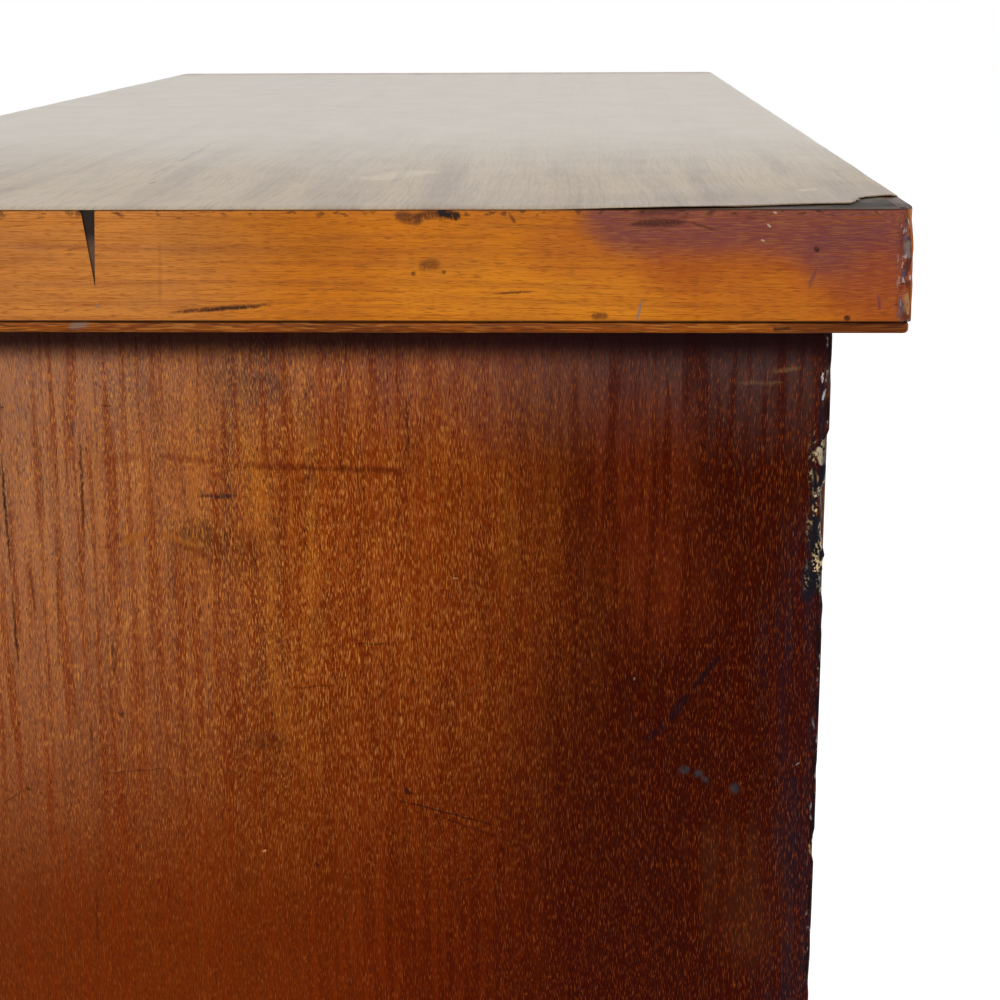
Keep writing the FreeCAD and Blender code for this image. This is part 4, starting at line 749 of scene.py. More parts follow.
@cache
def flame_finish(number):
    """Drawer fronts of flame mahogany, french polished: broad plumes of light that curl along the front."""
    colours = bpy.context.scene.chest_colours
    wood = Timber("french polished flame mahogany %d" % number, "x",
                  (colours.flame_dark, "662206", colours.flame_light),
                  ((38, 150), (2.6, 44), (0.7, 6), (0.55, 6)), 60.0)
    wood.patches({"dark ground": (colours.flame_dark, 70.0, 0.45, 0.62, 0.7, (2.2, 1, 1), 13.0 * number),
                  "bright plumes": ("a8520f", 24.0, 0.55, 0.72, 0.35, (1.5, 1, 0.5), 29.0 * number)})
    wood.fibres(("3d1306", "b8661c", "200805"), (0.5, 0.3, 0.5))
    return wood.polish((0.28, 0.34), 0.22, 0.00004, 0.00012, 0.1, 0.12, tint="e0a080")


@cache
def turned_finish():
    """Turned mahogany, stained and polished, with paler streaks where the figure runs out."""
    colours = bpy.context.scene.chest_colours
    wood = Timber("polished turned mahogany", "z", ("33110a", colours.turned, "7a3a18"),
                  ((12, 60), (0.9, 18), (0.6, 6), (0.5, 6)), 5.0)
    wood.fibres(("3a160b", "a8682f", "220b07"), (0.5, 0.3, 0.5))
    return wood.polish((0.29, 0.38), 0.35, 0.00003, tint="e0a080")


@cache
def oak_finish(grain):
    """Quarter sawn oak, planed and left bare: dry, with dark pores and a grey brown age."""
    colours = bpy.context.scene.chest_colours
    wood = Timber("planed oak, grain along " + grain, grain, ("8a6a42", colours.oak, "bd9b6c"),
                  ((9, 260), (1.2, 40), (1.6, 7), (0.6, 12)), 6.0)
    wood.patches({"grey brown age": ("6e5334", 90.0, 0.5, 0.7, 0.45, (1, 2.5, 1))})
    wood.fibres(("87683f", "cbb083", "4f3a22"), (0.45, 0.35, 0.6))
    return wood.polish((0.62, 0.78), 0.3, 0.00008)


@cache
def deal_finish(grain, name="planed deal"):
    """Deal, planed and left bare: broad summer and winter bands, browned by age and dust."""
    colours = bpy.context.scene.chest_colours
    wood = Timber("%s, grain along %s" % (name, grain), grain, ("84602f", colours.deal, "c2a172"),
                  ((7, 420), (2.4, 190), (1.2, 20), (0.8, 20)), 14.0)
    wood.patches({"dust": ("6d5030", 120.0, 0.45, 0.68, 0.6, (1.5, 1, 1.5))})
    wood.fibres(("7c5628", "cdae7f", "5a4128"), (0.7, 0.3, 0.3))
    if name == "top core":
        # The strip of core that the broken veneer bares is darkened: grime, and painted shade under the
        # lifted veneer
        grime_and_painted_shade = wood.rises(CORE_HIGH, "Z", -0.6, -0.1, 0.95)
        wood.stain("43352a", grime_and_painted_shade)
        wood.patches({"grime": ("15100d", 7.0, 0.4, 0.58, 0.9, (1, 2, 1))}, grime_and_painted_shade)
    return wood.polish((0.6, 0.8), 0.25, 0.00008)


# Size in millimetres of the patches of tarnish, and depth in metres of the scratches
METAL_PATCH = 14
METAL_BUMP = 0.00003


def metal_finish(name, bright, dull, roughness, grain_size):
    """A metal, cast or cut and rubbed by hand, with its tarnish in patches."""
    material, tree = empty_material(name)
    place = add(tree, "ShaderNodeTexCoord").outputs["Object"]
    mm = add(tree, "ShaderNodeMapping", {"Vector": place, "Scale": TO_MM})
    noises = []
    for size, detail in ((METAL_PATCH, 4.0), (grain_size, 3.0)):
        shrunk = add(tree, "ShaderNodeVectorMath", {0: mm, "Scale": 1 / size}, operation="SCALE")
        noises.append(add(tree, "ShaderNodeTexNoise",
                          {"Vector": shrunk, "Scale": 1.0, "Detail": detail}))
    patches, scratches = noises
    tarnish = add(tree, "ShaderNodeMapRange",
                  {"Value": patches, "From Min": 0.4, "From Max": 0.66})
    rough = add(tree, "ShaderNodeMapRange",
                {"Value": tarnish, "To Min": roughness[0], "To Max": roughness[1]})
    bump = add(tree, "ShaderNodeBump", {"Height": scratches, "Strength": 1.0, "Distance": METAL_BUMP})
    shader = add(tree, "ShaderNodeBsdfPrincipled",
                 {"Base Color": layer(tree, linear(bright), linear(dull), tarnish), "Metallic": 1.0,
                  "Roughness": rough, "Normal": bump})
    add(tree, "ShaderNodeOutputMaterial", {"Surface": shader})
    return material


@cache
def brass_finish():
    """Cast brass, filed and aged: a dull gold with brown tarnish."""
    colours = bpy.context.scene.chest_colours
    return metal_finish("aged brass", colours.brass, "6a4f28", (0.28, 0.5), 0.9)


@cache
def iron_finish():
    """Cut iron nails and screws, hammered and rusted: near black, with a brown bloom."""
    return metal_finish("rusted iron", "4a423c", "3d2518", (0.45, 0.75), 0.7)


def evaluated_mesh(piece):
    """The mesh that an object's modifiers make, as a plain mesh."""
    graph = bpy.context.evaluated_depsgraph_get()
    return bpy.data.meshes.new_from_object(piece.evaluated_get(graph), preserve_all_data_layers=True,
                                           depsgraph=graph)


def closed_mesh(name, work):
    """A mesh from a bmesh, with its doubles merged and its faces turned outwards."""
    bmesh.ops.remove_doubles(work, verts=work.verts, dist=1e-6)
    bmesh.ops.recalc_face_normals(work, faces=work.faces)
    mesh = bpy.data.meshes.new(name)
    work.to_mesh(mesh)
    work.free()
    return mesh


def cut_away(piece, shape):
    """The plain mesh of a piece with a shape cut out of it; the shape's own object goes."""
    cutter = linked("cutter", shape)
    cut = piece.modifiers.new("cut", "BOOLEAN")
    cut.operation = "DIFFERENCE"
    cut.solver = "EXACT"
    cut.object = cutter
    mesh = evaluated_mesh(piece)
    piece.modifiers.remove(cut)
    bpy.data.objects.remove(cutter)
    return mesh


def coated(mesh, materials):
    """A mesh with these finishes and no others."""
    mesh.materials.clear()
    for material in materials:
        mesh.materials.append(material)
    return mesh


# Edges that turn by more than this stay sharp
SHARP_ANGLE = math.radians(34)


def placed(name, mesh, materials, body, nodes=()):
    """Link a finished mesh as a piece: its finishes, its body and the CAD nodes it stands for."""
    piece = linked(name, coated(mesh, materials))
    mesh.polygons.foreach_set("use_smooth", [True] * len(mesh.polygons))
    mesh.set_sharp_from_angle(angle=SHARP_ANGLE)
    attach(piece, body)
    if nodes:
        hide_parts(*nodes)
    return piece


def merged(node):
    """A bmesh copy of a CAD node, its loose triangles joined and its flats made whole."""
    work = bmesh.new()
    work.from_mesh(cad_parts[node].data)
    bmesh.ops.remove_doubles(work, verts=work.verts, dist=1e-6)
    bmesh.ops.dissolve_limit(work, angle_limit=math.radians(1), verts=work.verts, edges=work.edges)
    return work


def solid_boxes(node):
    """The lowest and highest corner of each separate solid of a CAD node, from left to right."""
    work = merged(node)
    boxes = []
    left = set(work.verts)
    while left:
        group = {left.pop()}
        unread = list(group)
        while unread:
            vert = unread.pop()
            found = {edge.other_vert(vert) for edge in vert.link_edges} & left
            left -= found
            group |= found
            unread += found
        low = Vector(min(vert.co[axis] for vert in group) for axis in range(3))
        high = Vector(max(vert.co[axis] for vert in group) for axis in range(3))
        boxes.append((low, high))
    work.free()
    return sorted(boxes, key=lambda pair: tuple(round(value, 4) for value in pair[0]))


def centres(node):
    """The middle of each separate solid of a CAD node."""
    return [(low + high) / 2 for low, high in solid_boxes(node)]


# Edges that stand out by more than this are rounded
OUTER_ANGLE = math.radians(40)


def softened(node, width, segments=2):
    """A copy of a CAD node's mesh with its outer edges rounded by a width."""
    work = merged(node)
    outer = [edge for edge in work.edges
             if len(edge.link_faces) == 2 and edge.calc_face_angle_signed(0) > OUTER_ANGLE]
    bmesh.ops.bevel(work, geom=outer, offset=width, offset_type="OFFSET", segments=segments, profile=0.5,
                    affect="EDGES", clamp_overlap=True)
    return closed_mesh(node, work)


def join_rings(work, before, after):
    """Faces between two closed rings of as many points."""
    for k in range(len(before)):
        following = (k + 1) % len(before)
        work.faces.new((before[k], before[following], after[following], after[k]))


def swept(stations, section):
    """A closed body: a section of (across, up) points carried through stations, its ends closed."""
    work = bmesh.new()
    rings = []
    for index, (origin, across, up) in enumerate(stations):
        rings.append([work.verts.new(origin + across * u + up * v) for u, v in section(index)])
    for before, after in zip(rings, rings[1:]):
        join_rings(work, before, after)
    work.faces.new(rings[0])
    work.faces.new(list(reversed(rings[-1])))
    return work


def worn_corner(corner, towards_first, towards_second, radius, steps=4):
    """Points that round a corner, from the side that comes in to the side that leaves."""
    points = []
    for step in range(steps + 1):
        turn = math.radians(90) * step / steps
        fall_first = radius * (1 - math.sin(turn))
        fall_second = radius * (1 - math.cos(turn))
        points.append((corner[0] + towards_first[0] * fall_first + towards_second[0] * fall_second,
                       corner[1] + towards_first[1] * fall_first + towards_second[1] * fall_second))
    return points


def oval_points(centre_z, radius, half_height, start, end, steps):
    """Points of an oval profile as (radius, height), between two angles above its widest line."""
    points = []
    for step in range(steps + 1):
        turn = math.radians(start + (end - start) * step / steps)
        points.append((radius * math.cos(turn), centre_z + half_height * math.sin(turn)))
    return points


def waver(place, seed, size):
    """A smooth random value from -1 to 1 that changes over a size along an edge."""
    return noise.noise(Vector((place / size, seed, 0.5)))


def coated_result(tree, geometry, given, result):
    """End a Geometry Nodes tree: its instances made real, then given the finish."""
    real = add(tree, "GeometryNodeRealizeInstances", {"Geometry": geometry})
    finished = add(tree, "GeometryNodeSetMaterial",
                   {"Geometry": real, "Material": given.outputs["Finish"]})
    tree.links.new(finished.outputs[0], result.inputs[0])
    return tree


@cache
def turned_tree():
    """Geometry Nodes: turn a profile, given as a row of points at (radius, 0, height), about Z."""
    tree, given, result = new_group(
        "Turned solid", "GeometryNodeTree",
        [("Profile", "NodeSocketGeometry", None), ("Steps", "NodeSocketInt", 64),
         ("Finish", "NodeSocketMaterial", None)],
        [("Solid", "NodeSocketGeometry")])
    size = add(tree, "GeometryNodeAttributeDomainSize", {"Geometry": given.outputs["Profile"]})
    columns = add(tree, "ShaderNodeMath", {0: given.outputs["Steps"], 1: 1.0}, operation="ADD")
    grid = add(tree, "GeometryNodeMeshGrid",
               {"Size X": 1.0, "Size Y": 1.0, "Vertices X": columns,
                "Vertices Y": size.outputs["Point Count"]})
    place = add(tree, "ShaderNodeSeparateXYZ", {0: add(tree, "GeometryNodeInputPosition")})
    turn = add(tree, "ShaderNodeMath", {0: place.outputs["X"], 1: 2 * math.pi}, operation="MULTIPLY")
    last = add(tree, "ShaderNodeMath", {0: size.outputs["Point Count"], 1: 1.0}, operation="SUBTRACT")
    share = add(tree, "ShaderNodeMath", {0: place.outputs["Y"], 1: 0.5}, operation="ADD")
    row = add(tree, "ShaderNodeMath", {0: share, 1: last}, operation="MULTIPLY")
    whole = add(tree, "FunctionNodeFloatToInt", {0: row}, rounding_mode="ROUND")
    sample = add(tree, "GeometryNodeSampleIndex",
                 {"Geometry": given.outputs["Profile"], "Index": whole}, data_type="FLOAT_VECTOR")
    tree.links.new(add(tree, "GeometryNodeInputPosition").outputs[0], sample.inputs["Value"])
    point = add(tree, "ShaderNodeSeparateXYZ", {0: sample})
    cosine = add(tree, "ShaderNodeMath", {0: turn}, operation="COSINE")
    sine = add(tree, "ShaderNodeMath", {0: turn}, operation="SINE")
    x = add(tree, "ShaderNodeMath", {0: point.outputs["X"], 1: cosine}, operation="MULTIPLY")
    y = add(tree, "ShaderNodeMath", {0: point.outputs["X"], 1: sine}, operation="MULTIPLY")
    spot = add(tree, "ShaderNodeCombineXYZ", {0: x, 1: y, 2: point.outputs["Z"]})
    moved = add(tree, "GeometryNodeSetPosition", {"Geometry": grid.outputs["Mesh"], "Position": spot})
    joined = add(tree, "GeometryNodeMergeByDistance", {"Geometry": moved, "Distance": 1e-6})
    return coated_result(tree, joined.outputs[0], given, result)


@cache
def places_tree():
    """Geometry Nodes: set a piece at each point, facing as the point's attribute says, spun at random."""
    tree, given, result = new_group(
        "Set at places", "GeometryNodeTree",
        [("Places", "NodeSocketGeometry", None), ("Piece", "NodeSocketObject", None),
         ("Spin", "NodeSocketFloat", 0.0), ("Seed", "NodeSocketInt", 1),
         ("Finish", "NodeSocketMaterial", None)],
        [("Pieces", "NodeSocketGeometry")])
    piece = add(tree, "GeometryNodeObjectInfo", {"Object": given.outputs["Piece"]})
    facing = add(tree, "GeometryNodeInputNamedAttribute", {"Name": "facing"}, data_type="FLOAT_VECTOR")
    aim = add(tree, "FunctionNodeAlignRotationToVector", {"Vector": facing}, axis="Z")
    spin = add(tree, "FunctionNodeRandomValue",
               {2: 0.0, 3: given.outputs["Spin"], "Seed": given.outputs["Seed"]}, data_type="FLOAT")
    turn = add(tree, "FunctionNodeAxisAngleToRotation", {"Axis": (0, 0, 1), "Angle": spin.outputs[1]})
    rotation = add(tree, "FunctionNodeRotateRotation", {"Rotation": aim, "Rotate By": turn},
                   rotation_space="LOCAL")
    set_out = add(tree, "GeometryNodeInstanceOnPoints",
                  {"Points": given.outputs["Places"], "Instance": piece.outputs["Geometry"],
                   "Rotation": rotation})
    return coated_result(tree, set_out.outputs[0], given, result)


def rim_tree():
    """Geometry Nodes: carry a section, an object's outline, along a path of points at one level."""
    tree, given, result = new_group(
        "Moulding along a rim", "GeometryNodeTree",
        [("Path", "NodeSocketGeometry", None), ("Section", "NodeSocketObject", None),
         ("Finish", "NodeSocketMaterial", None)],
        [("Moulding", "NodeSocketGeometry")])
    path = add(tree, "GeometryNodeMeshToCurve", {"Mesh": given.outputs["Path"]})
    level = add(tree, "GeometryNodeSetCurveNormal", {"Curve": path}, mode="Z_UP")
    outline = add(tree, "GeometryNodeObjectInfo", {"Object": given.outputs["Section"]})
    section = add(tree, "GeometryNodeMeshToCurve", {"Mesh": outline.outputs["Geometry"]})
    solid = add(tree, "GeometryNodeCurveToMesh",
                {"Curve": level, "Profile Curve": section, "Fill Caps": True})
    return coated_result(tree, solid.outputs[0], given, result)


def line_mesh(name, points, closed=False):
    """A mesh of points joined in a row, and back to the first where it is closed."""
    mesh = bpy.data.meshes.new(name)
    edges = [(k, k + 1) for k in range(len(points) - 1)]
    if closed:
        edges.append((len(points) - 1, 0))
    mesh.from_pydata(points, edges, [])
    return mesh


def run_tree(tree, base, values):
    """Run a Geometry Nodes tree on a mesh and give its result as a plain mesh, faces outwards."""
    holder = linked("tree holder", base)
    modifier = holder.modifiers.new("nodes", "NODES")
    modifier.node_group = tree
    for item in tree.interface.items_tree:
        if item.item_type == "SOCKET" and item.in_out == "INPUT" and item.name in values:
            modifier[item.identifier] = values[item.name]
    result = evaluated_mesh(holder)
    holder.modifiers.remove(modifier)
    bpy.data.objects.remove(holder)
    if not result.polygons:
        raise RuntimeError(tree.name + " made no faces")
    work = bmesh.new()
    work.from_mesh(result)
    return closed_mesh(tree.name, work)


def turned_mesh(profile, material, steps=None):
    """A solid turned from (radius, height) points, its axis along Z."""
    base = line_mesh("profile", [(radius, 0, height) for radius, height in profile])
    steps = steps or bpy.context.scene.chest_sizes.turning_steps
    return run_tree(turned_tree(), base, {"Steps": steps, "Finish": material})


def set_at(mesh, places, material, spin=0.0, seed=1):
    """Copies of a mesh at places, each a point and the way that its Z axis faces, as one plain mesh."""
    piece = linked("piece to set", mesh)
    base = bpy.data.meshes.new("places")
    base.from_pydata([point for point, facing in places], [], [])
    facing = base.attributes.new("facing", "FLOAT_VECTOR", "POINT")
    for index, (point, direction) in enumerate(places):
        facing.data[index].vector = direction
    result = run_tree(places_tree(), base, {"Piece": piece, "Spin": spin, "Seed": seed, "Finish": material})
    bpy.data.objects.remove(piece)
    return result


class CHEST_OT_side_boards(bpy.types.Operator):
    """Build the two side boards, their front edges worn and knocked"""
    bl_idname = "chest.side_boards"
    bl_label = "Side boards"

    # Where the left board's front edge is knocked away: the reference view's rows, and depths in millimetres
    KNOCKS = {"upper": (432, 470, 1.5), "middle": (470, 552, 2.2),
              "low": (556, 600, 1.0), "foot": (835, 862, 1.2)}
    # The reference view's columns at which a knock begins and ends
    KNOCK_START, KNOCK_END = 822, 812
    SPACING = 0.003
    # Over how long a run of the edge its wear, its chips and its knocks change
    WEAR_RUN = 0.03
    CHIP_RUN = 0.012
    KNOCK_RUN = 0.005

    def knock_depth(self, height):
        """How much the left board's front edge has lost at a height."""
        depth = 0.0
        for top_row, bottom_row, most in self.KNOCKS.values():
            high = on_side((self.KNOCK_START, top_row)).z
            low = on_side((self.KNOCK_END, bottom_row)).z
            if low < height < high:
                share = (height - low) / (high - low)
                depth = max(depth, most * MM * min(1.0, 4 * share * (1 - share) + 0.25))
        return depth

    def board(self, side, seed):
        sizes = bpy.context.scene.chest_sizes
        width = SIDE_HIGH.x - SIDE_LOW.x
        depth = SIDE_HIGH.y - SIDE_LOW.y
        rebate_y = BACK_LOW.y - SIDE_LOW.y
        rebate_x = BACK_LOW.x - SIDE_LOW.x
        count = int((SIDE_HIGH.z - SIDE_LOW.z) / self.SPACING)
        heights = [SIDE_LOW.z + (SIDE_HIGH.z - SIDE_LOW.z) * index / count for index in range(count + 1)]
        stations = [(Vector((side * abs(SIDE_LOW.x), SIDE_LOW.y, height)), Vector((-side, 0, 0)),
                     Vector((0, 1, 0))) for height in heights]

        def section(index):
            height = heights[index]
            wear = sizes.arris_wear * (1.1 + 0.6 * waver(height, seed, self.WEAR_RUN))
            chips = sizes.arris_chips * max(0.0, waver(height, seed + 7, self.CHIP_RUN) - 0.25)
            uneven = 0.8 + 0.5 * waver(height, seed + 3, self.KNOCK_RUN)
            lost = self.knock_depth(height) * uneven if side < 0 else 0.0
            front = chips + lost
            fine = sizes.arris_wear * 0.4
            points = worn_corner((0, front), (0, 1), (1, 0), wear + lost)
            points += worn_corner((width, 0), (-1, 0), (0, 1), fine, 2)
            points += [(width, rebate_y), (rebate_x, rebate_y)]
            points += worn_corner((rebate_x, depth), (0, -1), (-1, 0), fine, 2)
            points += worn_corner((0, depth), (1, 0), (0, -1), sizes.arris_wear, 3)
            return points

        return closed_mesh("side board", swept(stations, section))

    def execute(self, context):
        for place, side, seed in (("left", -1, 1.0), ("right", 1, 21.0)):
            placed(place + "_side_board", self.board(side, seed), [side_board_finish(place)],
                   "carcass", ["side_" + place])
        return {"FINISHED"}


class CHEST_OT_top_veneer(bpy.types.Operator):
    """Build the top's veneer: thin, wavy, worn away at its rim and broken off at the front left corner"""
    bl_idname = "chest.top_veneer"
    bl_label = "Top veneer"

    # The broken edge, as distances from the left end and back from the front, in millimetres
    BROKEN_EDGE = {"end": (0, 104), "slip": (2, 90), "fray": (5, 64), "hollow": (12, 41), "turn": (15, 22),
                   "ledge": (36, 16), "nose": (43.5, 6), "front": (44.5, 0)}
    INSET = 0.0003
    RAGGED = 0.0021
    SPACING = 0.007
    LEAST = 0.00012
    # Distances in from an edge at which the veneer has points, close together where it changes fast
    END_STEPS = (0.006, 0.0042, 0.0028, 0.0017, 0.0009, 0.0003, 0.0)
    FRONT_STEPS = (0.0, 0.0004, 0.001, 0.0018, 0.0028, 0.0042, 0.006, 0.009, 0.013, 0.019, 0.027)
    REAR_STEPS = (0.006, 0.0042, 0.0028, 0.0017, 0.0008, 0.0)
    # How far from the left end it has a point every millimetre, and how far before the right end they part
    BROKEN_RUN = 0.048
    END_RUN = 0.008
    # Depths of the slow wave and of the fine ripple, and their sizes along and across, each with its seed
    WAVE = 0.00016
    RIPPLE = 0.00002
    WAVE_SIZE = (0.16, 0.11, 2.0)
    RIPPLE_SIZE = (0.02, 0.05, 7.0)
    # Widths of the worn rim, of the loose veneer and of its crumbled lip, and the depth of the crumbling
    RIM_WIDTH = 0.0065
    LOOSE_WIDTH = 0.03
    LIP_WIDTH = 0.0035
    CRUMBLE = 0.0006

    def columns(self, length):
        """Distances from the left end: fine over the broken part, even in the middle, fine at the end."""
        points = [0.0]
        while points[-1] + MM < self.BROKEN_RUN:
            points.append(points[-1] + MM)
        start = points[-1]
        middle = length - self.END_RUN - start
        count = int(middle / self.SPACING)
        points += [start + middle * k / count for k in range(1, count + 1)]
        return points + [length - value for value in self.END_STEPS]

    def broken_line(self, across):
        """How far back from the front edge the veneer begins, at a distance from the left end."""
        points = [(x * MM, y * MM) for x, y in self.BROKEN_EDGE.values()]
        if across >= points[-1][0]:
            return None
        for (x0, y0), (x1, y1) in zip(points, points[1:]):
            if x0 <= across <= x1:
                line = y0 + (y1 - y0) * (across - x0) / (x1 - x0)
                ragged = self.RAGGED * (waver(across, 3.0, 0.003) + 0.5 * waver(across, 8.0, 0.0012))
                return max(0.0005, line + ragged)
        return 0.0

    def execute(self, context):
        sizes = bpy.context.scene.chest_sizes
        length = VENEER_HIGH.x - VENEER_LOW.x - 2 * self.INSET
        depth = VENEER_HIGH.y - VENEER_LOW.y - 2 * self.INSET
        row_count = int(depth / self.SPACING)
        work = bmesh.new()
        uppers, lowers = [], []
        for across in self.columns(length):
            line = self.broken_line(across)
            start = line if line is not None else self.corner_fall(length - across)
            run = depth - start
            inner = run - self.FRONT_STEPS[-1] - self.REAR_STEPS[0]
            steps = list(self.FRONT_STEPS)
            steps += [self.FRONT_STEPS[-1] + inner * k / row_count for k in range(1, row_count)]
            steps += [run - value for value in self.REAR_STEPS]
            upper_column, lower_column = [], []
            for back in steps:
                x = VENEER_LOW.x + self.INSET + across
                y = VENEER_LOW.y + self.INSET + start + back
                rim = min(across, length - across, run - back)
                if line is None:
                    rim = min(rim, back)
                top, bottom = self.levels(x, y, rim, back if line is not None else 1.0, sizes)
                upper_column.append(work.verts.new((x, y, top)))
                lower_column.append(work.verts.new((x, y, bottom)))
            uppers.append(upper_column)
            lowers.append(lower_column)
        self.skin(work, uppers, lowers)
        placed("worn_top_veneer", closed_mesh("veneer", work), [top_finish()], "carcass",
               ["top_veneer"])
        return {"FINISHED"}

    def corner_fall(self, from_end):
        """How far back the rounded front right corner begins, at a distance from the right end."""
        radius = TOP_CORNER_RADIUS
        if from_end >= radius:
            return 0.0
        return radius - math.sqrt(max(0.0, radius ** 2 - (radius - from_end) ** 2))

    def levels(self, x, y, rim, from_break, sizes):
        """The upper and lower face's heights at a point, by its distance from the rim and from the break."""
        wave, ripple = (0.5 + 0.5 * noise.noise(Vector((x / along, y / across, seed)))
                        for along, across, seed in (self.WAVE_SIZE, self.RIPPLE_SIZE))
        top = VENEER_HIGH.z - self.WAVE * wave - self.RIPPLE * ripple
        edge = max(0.0, 1 - rim / self.RIM_WIDTH)
        top -= sizes.rim_fall * edge * edge * (0.75 + 0.25 * waver(x + y, 5.0, 0.03))
        lift = max(0.0, 1 - from_break / self.LOOSE_WIDTH)
        top += (VENEER_HIGH.z - top) * lift
        lip = max(0.0, 1 - from_break / self.LIP_WIDTH)
        top -= self.CRUMBLE * lip * max(0.0, waver(y - x, 9.0, 0.004) - 0.05)
        bottom = VENEER_LOW.z + sizes.veneer_lift * lift * (0.85 + 0.3 * waver(x + y, 11.0, 0.01))
        return max(top, bottom + self.LEAST), bottom

    def skin(self, work, uppers, lowers):
        """Join the grids of the upper and lower face, and close them round their edges."""
        for grid in (uppers, lowers):
            for before, after in zip(grid, grid[1:]):
                for k in range(len(before) - 1):
                    work.faces.new((before[k], after[k], after[k + 1], before[k + 1]))
        for column_up, column_down in ((uppers[0], lowers[0]), (uppers[-1], lowers[-1])):
            for k in range(len(column_up) - 1):
                work.faces.new((column_up[k], column_up[k + 1], column_down[k + 1], column_down[k]))
        for k in range(len(uppers) - 1):
            for end in (0, -1):
                work.faces.new((uppers[k][end], uppers[k + 1][end], lowers[k + 1][end], lowers[k][end]))


# Distances from a corner of the top at which its rim has stations
RIM_STEPS = [0.0005, 0.0015, 0.003, 0.0045, 0.006, 0.008, 0.01, 0.0125, 0.015, 0.018, 0.022]


def corner_turn(centre, start):
    """Half of a rounded corner, as seven places (centre, angle) from a start angle in degrees."""
    return [(centre, math.radians(start + 45 * step / 6)) for step in range(7)]


def rim_stations(part, inset, spacing):
    """Places round the top's rim for its left, front or right strip, each a point, the direction
    outwards and the length so far."""
    left, right = EDGE_LOW.x, -EDGE_LOW.x
    front, back = VENEER_LOW.y, VENEER_HIGH.y
    radius = TOP_CORNER_RADIUS
    near = Vector((left + radius, front + radius, 0))
    far = Vector((right - radius, front + radius, 0))
    run = right - left - 2 * radius if part == "front" else back - front - radius
    count = int(run / spacing)
    even = [run * step / count for step in range(1, count + 1)]
    if part == "front":
        middle = [value for value in even if RIM_STEPS[-1] < value < run - RIM_STEPS[-1]]
        along = RIM_STEPS + middle + [run - value for value in reversed(RIM_STEPS)]
        places = corner_turn(near, 225)
        places += [(near + Vector((value, 0, 0)), math.radians(270)) for value in along]
        places += corner_turn(far, 270)
    else:
        along = RIM_STEPS + [value for value in even if value > RIM_STEPS[-1]]
        places = [(near + Vector((0, value, 0)), math.radians(180)) for value in reversed(along)]
        places += corner_turn(near, 180)
    stations = []
    length = 0.0
    previous = None
    for centre, turn in places:
        outward = Vector((math.cos(turn), math.sin(turn), 0))
        point = centre + outward * (radius - inset)
        if part == "right":
            point.x = -point.x
            outward = Vector((-outward.x, outward.y, 0))
        length += (point - previous).length if previous is not None else 0.0
        previous = point
        stations.append((point, outward, length))
    return stations


class CHEST_OT_edge_facings(bpy.types.Operator):
    """Build the three edge facings of the top, rounded and chipped, with the lost sliver on the left"""
    bl_idname = "chest.edge_facings"
    bl_label = "Edge facings"

    SPACING = 0.003
    BACKING = 0.006
    ROWS = 12
    # The front left corner has worn round at its top: how far in, along the rim and down the wear goes
    CORNER_LOSS = 0.0046
    CORNER_REACH = 0.013
    CORNER_DROP = 0.021
    SLIVER_DEPTH = 0.0014
    # How deep the knocks at the worn corner go, and the dents along the rest
    KNOCK = 0.0011
    DENT = 0.0002

    def facing(self, part, seed):
        sizes = bpy.context.scene.chest_sizes
        low, high = BEAD_HIGH.z, EDGE_HIGH.z
        rim = rim_stations(part, 0.0, self.SPACING)
        stations = [(point, outward, Vector((0, 0, 1))) for point, outward, length in rim]

        def lost_at(height, near):
            """What the worn corner has lost at a height, by how near the corner is."""
            share = max(0.0, (height - (high - self.CORNER_DROP)) / self.CORNER_DROP)
            return self.CORNER_LOSS * near * near * share ** 2.2

        def section(index):
            point, outward, length = rim[index]
            near = max(0.0, 1 - (point.xy - CORNER.xy).length / self.CORNER_REACH)
            upper = sizes.arris_wear * (0.5 + 0.3 * waver(length, seed, 0.02)) + 0.001 * near
            lower = sizes.arris_wear * 0.35
            dent = self.DENT * max(0.0, waver(length, seed + 5, 0.05))
            points = [(-self.BACKING, high), (-self.BACKING, low)]
            points += worn_corner((-dent, low), (-1, 0), (0, 1), lower, 2)
            for row in range(1, self.ROWS):
                height = low + (high - upper - low) * row / self.ROWS
                knock = self.KNOCK * near * max(0.0, waver(height * 3 + length, seed + 9, 0.008) + 0.05)
                points.append((-dent - knock - lost_at(height, near), height))
            points += worn_corner((-dent - lost_at(high, near), high), (0, -1), (-1, 0), upper, 4)
            return points

        return closed_mesh("facing " + part, swept(stations, section))

    def sliver(self):
        """The wedge that is lost from the left facing, a millimetre longer where it leaves the wood."""
        top_left = on_edge((79, 207))
        top_right = on_edge((94.5, 207))
        point = on_edge((95, 287))
        work = bmesh.new()
        outer = [work.verts.new(Vector((corner.x - MM, corner.y, corner.z + lift)))
                 for corner, lift in ((top_left, MM), (top_right, MM), (point, 0))]
        inner = [work.verts.new(vert.co + Vector((self.SLIVER_DEPTH + MM, 0, 0))) for vert in outer]
        work.faces.new(outer)
        work.faces.new(list(reversed(inner)))
        join_rings(work, outer, inner)
        return closed_mesh("sliver", work)

    def execute(self, context):
        for part, seed in (("left", 2.0), ("front", 31.0), ("right", 57.0)):
            piece = placed(part + "_edge_facing", self.facing(part, seed),
                           [facing_finish(part)], "carcass",
                           ["top_edge_" + part])
            if part == "left":
                piece.data = cut_away(piece, self.sliver())
        return {"FINISHED"}


def mark_front(mesh, low, high):
    """Give a rim's front strip, as far as its mitres, the mesh's second finish."""
    for polygon in mesh.polygons:
        centre = polygon.center
        from_front = centre.y - low.y
        from_end = min(centre.x - low.x, high.x - centre.x)
        polygon.material_index = 1 if from_front < from_end else 0


